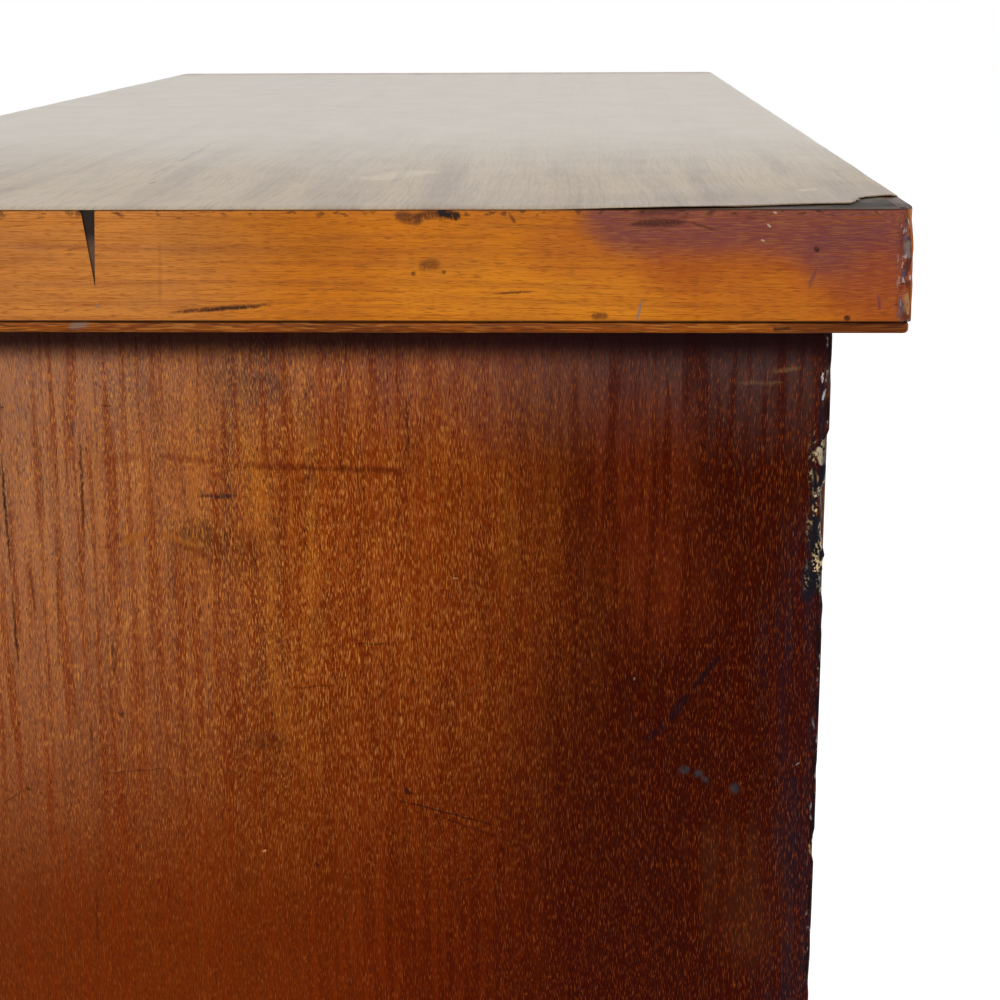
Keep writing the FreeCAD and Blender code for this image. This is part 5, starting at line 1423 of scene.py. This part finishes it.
class CHEST_OT_top_bead(bpy.types.Operator):
    """Build the bead that runs under the top's edge, round its front and ends"""
    bl_idname = "chest.top_bead"
    bl_label = "Top bead"

    BACKING = 0.0052
    NOSE = 0.0016

    def execute(self, context):
        inset = BEAD_LOW.x - EDGE_LOW.x
        height = BEAD_HIGH.z - BEAD_LOW.z
        middle = (BEAD_HIGH.z + BEAD_LOW.z) / 2
        path = []
        for part in ("left", "front"):
            for point, outward, length in rim_stations(part, inset, 0.012):
                spot = Vector((point.x, point.y, middle))
                if not path or (spot - path[-1]).length > 1e-5:
                    path.append(spot)
        right = [Vector((-spot.x, spot.y, spot.z)) for spot in reversed(path) if spot.x < 0]
        path = [spot for spot in path if spot.x <= 0] + right
        outline = [(-self.BACKING, height / 2), (-self.BACKING, -height / 2)]
        outline += worn_corner((0, -height / 2), (-1, 0), (0, 1), self.NOSE, 4)
        outline += worn_corner((0, height / 2), (0, -1), (-1, 0), self.NOSE, 4)
        section = linked("bead section", line_mesh("bead section", [(u, v, 0) for u, v in outline], True))
        finish = bead_finish("left")
        mesh = run_tree(rim_tree(), line_mesh("rim", path), {"Section": section, "Finish": finish})
        bpy.data.objects.remove(section)
        piece = placed("top_bead_moulding", mesh, [finish, bead_finish("front")], "carcass",
                       ["top_beads"])
        mark_front(piece.data, BEAD_LOW, BEAD_HIGH)
        return {"FINISHED"}


class CHEST_OT_carcass_frame(bpy.types.Operator):
    """Finish the core and packing of the top, the rails, divider, runners, dust boards and blocks"""
    bl_idname = "chest.carcass_frame"
    bl_label = "Carcass frame"

    EDGE = 0.0006

    def execute(self, context):
        for node, grain in (("top_rails", "x"), ("drawer_rails", "x"), ("drawer_divider", "z")):
            placed(node + "_softened", softened(node, self.EDGE), [board_finish(grain)],
                   "carcass", [node])
        for node, grain in (("drawer_runners", "y"), ("dust_boards", "x")):
            placed(node + "_planed", softened(node, self.EDGE), [deal_finish(grain)],
                   "carcass", [node])
        for node, *details in (("top_core", "x", "top core"), ("top_packing", "x"), ("drawer_stops", "x"),
                               ("bottom_board", "x"), ("glue_blocks", "z")):
            coated(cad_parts[node].data, [deal_finish(*details)])
        return {"FINISHED"}


class CHEST_OT_back_boards(bpy.types.Operator):
    """Build the upright back boards with their softened edges, and the cut nails that hold them"""
    bl_idname = "chest.back_boards"
    bl_label = "Back boards"

    EDGE = 0.0009
    FROM_TOP = 0.011
    FROM_FOOT = 0.066
    FROM_EDGE = 0.022
    HEAD_HEIGHT = 0.0011
    SINK = 0.0004
    STEPS = 8
    # How far the heads may be turned and how far a nail may stand from its line
    SPIN = math.radians(45)
    DRIFT = 0.006
    SEED = 7

    def execute(self, context):
        placed("lapped_back_boards", softened("back_boards", self.EDGE, 3), [deal_finish("z")],
               "carcass", ["back_boards"])
        radius = context.scene.chest_sizes.nail_radius
        iron = iron_finish()
        head = turned_mesh([(0, -self.SINK), (radius * 0.9, -self.SINK), (radius, -self.SINK * 0.25),
                            (radius * 0.45, self.HEAD_HEIGHT - self.SINK), (0, self.HEAD_HEIGHT - self.SINK)],
                           iron, self.STEPS)
        depth = BACK_HIGH.y - (self.HEAD_HEIGHT - self.SINK) - self.SINK * 0.1
        places = []
        for low, high in solid_boxes("back_boards"):
            for x in (low.x + self.FROM_EDGE, (low.x + high.x) / 2, high.x - self.FROM_EDGE):
                for z in (BACK_HIGH.z - self.FROM_TOP, BACK_LOW.z + self.FROM_FOOT):
                    drift = self.DRIFT * waver(x + z, 4.0, 0.05)
                    places.append((Vector((x + drift, depth, z + drift / 2)), Vector((0, 1, 0))))
        nails = set_at(head, places, iron, self.SPIN, self.SEED)
        placed("back_board_nails", nails, [iron], "carcass")
        return {"FINISHED"}


class CHEST_OT_plinth(bpy.types.Operator):
    """Build the moulded plinth with its worn edges"""
    bl_idname = "chest.plinth"
    bl_label = "Plinth"

    EDGE = 0.0008

    def execute(self, context):
        piece = placed("moulded_plinth", softened("plinth", self.EDGE, 3),
                       [board_finish("y"), board_finish("x")],
                       "carcass", ["plinth"])
        mark_front(piece.data, PLINTH_LOW, PLINTH_HIGH)
        return {"FINISHED"}


class CHEST_OT_feet(bpy.types.Operator):
    """Turn the four bun feet, each with its pad, bun, neck, collar and dowel"""
    bl_idname = "chest.feet"
    bl_label = "Bun feet"

    RADIUS = 0.056
    PAD_RADIUS = 0.031
    NECK_RADIUS = 0.035
    NECK_HEIGHT = 0.006
    COLLAR_RADIUS = 0.041
    COLLAR_HEIGHT = 0.009
    COLLAR_ROUNDING = 0.004
    DOWEL_RADIUS = 0.011

    def profile(self):
        height = PLINTH_LOW.z
        collar_z = height - self.COLLAR_HEIGHT
        low = math.degrees(math.acos(self.PAD_RADIUS / self.RADIUS))
        high = math.degrees(math.acos(self.NECK_RADIUS / self.RADIUS))
        half = (collar_z - self.NECK_HEIGHT) / (math.sin(math.radians(low)) + math.sin(math.radians(high)))
        belly = half * math.sin(math.radians(low))
        groove = [(self.PAD_RADIUS * 0.86, 0.0), (self.PAD_RADIUS * 0.96, 0.0007)]
        bun = oval_points(belly, self.RADIUS, half, -low + 2, high, 18)
        neck = [(self.NECK_RADIUS - 0.0012, collar_z - self.NECK_HEIGHT * 0.6),
                (self.NECK_RADIUS - 0.0006, collar_z - self.NECK_HEIGHT * 0.25), (self.NECK_RADIUS, collar_z)]
        ring = oval_points(collar_z + self.COLLAR_HEIGHT / 2, self.COLLAR_ROUNDING, self.COLLAR_HEIGHT / 2,
                           -80, 80, 10)
        collar = [(self.COLLAR_RADIUS - self.COLLAR_ROUNDING + out, z) for out, z in ring]
        dowel = [(self.COLLAR_RADIUS - 0.005, height), (self.DOWEL_RADIUS, height),
                 (self.DOWEL_RADIUS, FOOT_HIGH.z), (0, FOOT_HIGH.z)]
        return [(0, 0.0)] + groove + bun + neck + collar + dowel

    def execute(self, context):
        finish = turned_finish()
        foot = turned_mesh(self.profile(), finish)
        places = [(Vector((centre.x, centre.y, 0)), Vector((0, 0, 1))) for centre in centres("bun_feet")]
        placed("turned_bun_feet", set_at(foot, places, finish, 2 * math.pi, 5), [finish], "carcass",
               ["bun_feet"])
        return {"FINISHED"}


def mitred_frame(low, high, section):
    """A frame of four mitred strips in the XZ plane: section points are (inwards, along Y)."""
    work = bmesh.new()
    rings = []
    for painted_reflection_and_gloss, y in section:
        rings.append([work.verts.new((x, y, z)) for x, z in
                      ((low.x + painted_reflection_and_gloss, low.z + painted_reflection_and_gloss), (high.x - painted_reflection_and_gloss, low.z + painted_reflection_and_gloss),
                       (high.x - painted_reflection_and_gloss, high.z - painted_reflection_and_gloss), (low.x + painted_reflection_and_gloss, high.z - painted_reflection_and_gloss))])
    for before, after in zip(rings, rings[1:] + rings[:1]):
        join_rings(work, before, after)
    return closed_mesh("cockbeads", work)


class CHEST_OT_drawer_fronts(bpy.types.Operator):
    """Finish the drawer fronts and build the cockbeads round them"""
    bl_idname = "chest.drawer_fronts"
    bl_label = "Drawer fronts"

    BEAD = 0.003

    def execute(self, context):
        for number, drawer in enumerate(DRAWERS):
            coated(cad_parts[drawer + "_front"].data, [flame_finish(number)])
            low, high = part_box(drawer + "_cockbeads")
            half = self.BEAD / 2
            nose = low.y + half
            section = [(0, high.y), (0, nose)]
            turns = [math.radians(turn) for turn in range(20, 161, 20)]
            section += [(half - half * math.cos(turn), nose - half * math.sin(turn)) for turn in turns]
            section += [(self.BEAD, nose), (self.BEAD, high.y)]
            placed(drawer + "_cockbead_frame", mitred_frame(low, high, section),
                   [turned_finish()], drawer, [drawer + "_cockbeads"])
        return {"FINISHED"}


class CHEST_OT_knobs(bpy.types.Operator):
    """Turn the knobs: a base ring, a waist and a domed head with a line cut round it"""
    bl_idname = "chest.knobs"
    bl_label = "Knobs"

    RADIUS = 0.022
    REACH = 0.03
    # The upper drawer is pulled most, and its crowns are worn flatter by this much
    WEAR = {"upper_drawer": 0.0024}
    BASE_RADIUS = 0.015
    BASE_HEIGHT = 0.004
    NECK_RADIUS = 0.01
    NECK_HEIGHT = 0.009
    NECK_FLARE = 0.0012
    DOME_HEIGHT = 0.011
    CROWN_ANGLE = 68
    SPIGOT_RADIUS = 0.008
    SPIGOT_LENGTH = 0.0195
    LINE_RADIUS = 0.0125
    LINE_DEPTH = 0.0005
    LINE_WIDTH = 0.0009
    RING_ROUNDING = 0.002
    WAIST_DIP = 0.0018
    WAIST_STEPS = 9

    def profile(self, wear):
        rim = self.REACH - self.DOME_HEIGHT
        cove = self.BASE_HEIGHT + self.NECK_HEIGHT
        sine = math.sin(math.radians(self.CROWN_ANGLE))
        spigot = [(0, -self.SPIGOT_LENGTH), (self.SPIGOT_RADIUS, -self.SPIGOT_LENGTH),
                  (self.SPIGOT_RADIUS, 0)]
        inner = self.BASE_RADIUS - self.RING_ROUNDING
        ring = [(inner + out, z) for out, z in
                oval_points(self.BASE_HEIGHT / 2, self.RING_ROUNDING, self.BASE_HEIGHT / 2, -85, 70, 8)]
        waist = []
        for step in range(1, self.WAIST_STEPS):
            share = step / self.WAIST_STEPS
            radius = inner + (self.NECK_RADIUS + self.NECK_FLARE - inner) * share
            waist.append((radius - self.WAIST_DIP * math.sin(math.pi * share),
                          self.BASE_HEIGHT + self.NECK_HEIGHT * share))
        under = oval_points(rim, self.RADIUS, (rim - cove) / sine, -self.CROWN_ANGLE + 8, 0, 8)
        crown = oval_points(rim, self.RADIUS, (self.DOME_HEIGHT - wear) / sine, 0, self.CROWN_ANGLE, 14)[1:]
        dome = []
        for radius, z in crown:
            cut = max(0.0, 1 - abs(radius - self.LINE_RADIUS) / self.LINE_WIDTH)
            dome.append((radius, z - self.LINE_DEPTH * cut))
        button = [(dome[-1][0] * 0.55, self.REACH - wear - 0.0001), (0, self.REACH - wear)]
        return spigot + ring + waist + under + dome + button

    def execute(self, context):
        finish = turned_finish()
        for drawer in DRAWERS:
            knob = turned_mesh(self.profile(self.WEAR.get(drawer, 0.0)), finish)
            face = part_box(drawer + "_front")[0].y
            places = [(Vector((centre.x, face, centre.z)), Vector((0, -1, 0)))
                      for centre in centres(drawer + "_knobs")]
            placed(drawer + "_turned_knobs", set_at(knob, places, finish, 2 * math.pi, 11), [finish], drawer,
                   [drawer + "_knobs"])
        return {"FINISHED"}


class CHEST_OT_locks(bpy.types.Operator):
    """Finish the brass locks, bolts and escutcheons, and set the slotted screws of each lock plate"""
    bl_idname = "chest.locks"
    bl_label = "Locks"

    EDGE = 0.0002
    PLATE_HEIGHT = 0.042
    FROM_END = 0.0032
    FROM_EDGE = 0.008
    HEAD_PROUD = 0.0004
    HEAD_DEPTH = 0.001
    SLOT_WIDTH = 0.0007
    SLOT_DEPTH = 0.0006
    HEAD_STEPS = 20
    FIRST_SEED = 20

    def screw_head(self, radius, material):
        """A slotted round head: a turned disc with its slot cut across."""
        proud = self.HEAD_PROUD
        disc = turned_mesh([(0, -self.HEAD_DEPTH), (radius * 0.8, -self.HEAD_DEPTH), (radius, 0),
                            (radius * 0.94, proud * 0.7), (radius * 0.7, proud), (0, proud)], material,
                           self.HEAD_STEPS)
        head = linked("head", disc)
        work = bmesh.new()
        bmesh.ops.create_cube(work, size=1.0)
        bmesh.ops.scale(work, vec=(radius * 3, self.SLOT_WIDTH, self.SLOT_DEPTH * 2), verts=work.verts)
        bmesh.ops.translate(work, vec=(0, 0, proud), verts=work.verts)
        mesh = cut_away(head, closed_mesh("slot", work))
        bpy.data.objects.remove(head)
        return mesh

    def execute(self, context):
        brass = brass_finish()
        iron = iron_finish()
        head = self.screw_head(context.scene.chest_sizes.screw_radius, iron)
        for number, drawer in enumerate(DRAWERS):
            placed(drawer + "_brass_lock", softened(drawer + "_lock", self.EDGE, 1), [brass], drawer,
                   [drawer + "_lock"])
            placed(drawer + "_brass_bolt", softened(drawer + "_bolt", self.EDGE, 2), [brass],
                   drawer + "_lock_bolt", [drawer + "_bolt"])
            low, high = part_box(drawer + "_lock")
            places = []
            for x in (low.x + self.FROM_END, high.x - self.FROM_END):
                for z in (high.z - self.FROM_EDGE, high.z - self.PLATE_HEIGHT + self.FROM_EDGE):
                    places.append((Vector((x, high.y, z)), Vector((0, 1, 0))))
            screws = set_at(head, places, iron, math.pi, self.FIRST_SEED + number)
            placed(drawer + "_lock_screws", screws, [iron], drawer)
        return {"FINISHED"}


class CHEST_OT_drawer_boxes(bpy.types.Operator):
    """Soften and finish the drawers' oak sides and backs and their deal bottoms"""
    bl_idname = "chest.drawer_boxes"
    bl_label = "Drawer boxes"

    EDGE = 0.0004
    # Each part of a box: its wood, its finish and the way its grain runs
    PARTS = {"sides": ("oak", oak_finish, "y"), "back": ("oak", oak_finish, "x"),
             "bottom": ("deal", deal_finish, "x")}

    def execute(self, context):
        for drawer in DRAWERS:
            for part, (wood, maker, grain) in self.PARTS.items():
                node = "%s_%s" % (drawer, part)
                placed("%s_%s_%s" % (drawer, wood, part), softened(node, self.EDGE),
                       [maker(grain)], drawer, [node])
        return {"FINISHED"}


class CHEST_OT_stage(bpy.types.Operator):
    """Set the floor, the white surroundings, the lamps and the camera"""
    bl_idname = "chest.stage"
    bl_label = "Stage"

    FLOOR_SIZE = 24.0
    LIGHT_LEVEL = 0.62
    FLOOR_GLOW = 0.62
    # Lamps as (place, what it points at, size in metres, power in watts)
    LAMPS = {"side lamp": ((-3.4, 0.5, 2.0), (-0.6, 0.0, 0.9), 1.6, 42),
             "front lamp": ((-0.6, -3.6, 2.4), (0, -0.2, 0.6), 2.0, 60)}

    def backdrop_factor(self, tree):
        """1 for rays that see the surroundings: straight, mirrored or through glass."""
        path = add(tree, "ShaderNodeLightPath")
        seen = add(tree, "ShaderNodeMath",
                   {0: path.outputs["Is Camera Ray"], 1: path.outputs["Is Glossy Ray"]}, operation="MAXIMUM")
        return add(tree, "ShaderNodeMath", {0: seen, 1: path.outputs["Is Transmission Ray"]},
                   operation="MAXIMUM")

    def surroundings(self):
        world = bpy.data.worlds.new("white room")
        bpy.context.scene.world = world
        world.use_nodes = True
        tree = world.node_tree
        tree.nodes.clear()
        lighting = add(tree, "ShaderNodeBackground", {"Color": (1, 1, 1, 1), "Strength": self.LIGHT_LEVEL})
        white = add(tree, "ShaderNodeBackground", {"Color": (1, 1, 1, 1), "Strength": 1.0})
        choice = add(tree, "ShaderNodeMixShader",
                     {0: self.backdrop_factor(tree), 1: lighting, 2: white})
        add(tree, "ShaderNodeOutputWorld", {"Surface": choice})

    def floor(self):
        half = self.FLOOR_SIZE / 2
        mesh = bpy.data.meshes.new("floor")
        corners = [(-half, -half, 0), (half, -half, 0), (half, half, 0), (-half, half, 0)]
        mesh.from_pydata(corners, [], [(0, 1, 2, 3)])
        floor = linked("floor", mesh)
        material, tree = empty_material("white painted floor")
        paint = add(tree, "ShaderNodeBsdfDiffuse", {"Color": (0.8, 0.8, 0.8, 1)})
        glow = add(tree, "ShaderNodeEmission", {"Color": (1, 1, 1, 1), "Strength": self.FLOOR_GLOW})
        lifted = add(tree, "ShaderNodeAddShader", {0: paint, 1: glow})
        choice = add(tree, "ShaderNodeMixShader",
                     {0: self.backdrop_factor(tree), 1: paint, 2: lifted})
        add(tree, "ShaderNodeOutputMaterial", {"Surface": choice})
        mesh.materials.append(material)

    def lamp(self, name, place, target, size, power):
        light = bpy.data.lights.new(name, "AREA")
        light.size = size
        light.energy = power
        lamp = linked(name, light)
        lamp.location = place
        lamp.rotation_euler = (Vector(target) - Vector(place)).to_track_quat("-Z", "Y").to_euler()

    def camera(self):
        right, up, forward = camera_axes()
        data = bpy.data.cameras.new("reference view")
        data.lens = LENS
        data.sensor_width = SENSOR
        data.clip_start = 0.01
        camera = linked("reference view", data)
        turn = Matrix((right, up, -forward)).transposed()
        camera.matrix_world = Matrix.Translation(CAMERA_PLACE) @ turn.to_4x4()
        bpy.context.scene.camera = camera

    def execute(self, context):
        context.scene.view_settings.view_transform = "Standard"
        self.surroundings()
        self.floor()
        for name, details in self.LAMPS.items():
            self.lamp(name, *details)
        self.camera()
        return {"FINISHED"}


OPERATORS = (CHEST_OT_side_boards, CHEST_OT_top_veneer, CHEST_OT_edge_facings, CHEST_OT_top_bead,
             CHEST_OT_carcass_frame, CHEST_OT_back_boards, CHEST_OT_plinth, CHEST_OT_feet,
             CHEST_OT_drawer_fronts, CHEST_OT_knobs, CHEST_OT_locks, CHEST_OT_drawer_boxes, CHEST_OT_stage)


class CHEST_PT_panel(bpy.types.Panel):
    """The chest's sizes, colours and pieces"""
    bl_idname = "CHEST_PT_panel"
    bl_label = "Antique Chest"
    bl_space_type = "VIEW_3D"
    bl_region_type = "UI"
    bl_category = "Chest"

    def draw(self, context):
        for group in (context.scene.chest_sizes, context.scene.chest_colours):
            box = self.layout.box()
            for name in group.__annotations__:
                box.prop(group, name)
        for operator in OPERATORS:
            self.layout.operator(operator.bl_idname)


CLASSES = (ChestSizes, ChestColours, *OPERATORS, CHEST_PT_panel)


def register():
    for cls in CLASSES:
        bpy.utils.register_class(cls)
    bpy.types.Scene.chest_sizes = PointerProperty(type=ChestSizes)
    bpy.types.Scene.chest_colours = PointerProperty(type=ChestColours)


def unregister():
    del bpy.types.Scene.chest_colours
    del bpy.types.Scene.chest_sizes
    for cls in reversed(CLASSES):
        bpy.utils.unregister_class(cls)


def main():
    register()
    chest = bpy.ops.chest
    for build in (chest.side_boards, chest.top_veneer, chest.edge_facings, chest.top_bead,
                  chest.carcass_frame, chest.back_boards, chest.plinth, chest.feet,
                  chest.drawer_fronts, chest.knobs, chest.locks, chest.drawer_boxes, chest.stage):
        build()


if __name__ == "__main__":
    main()
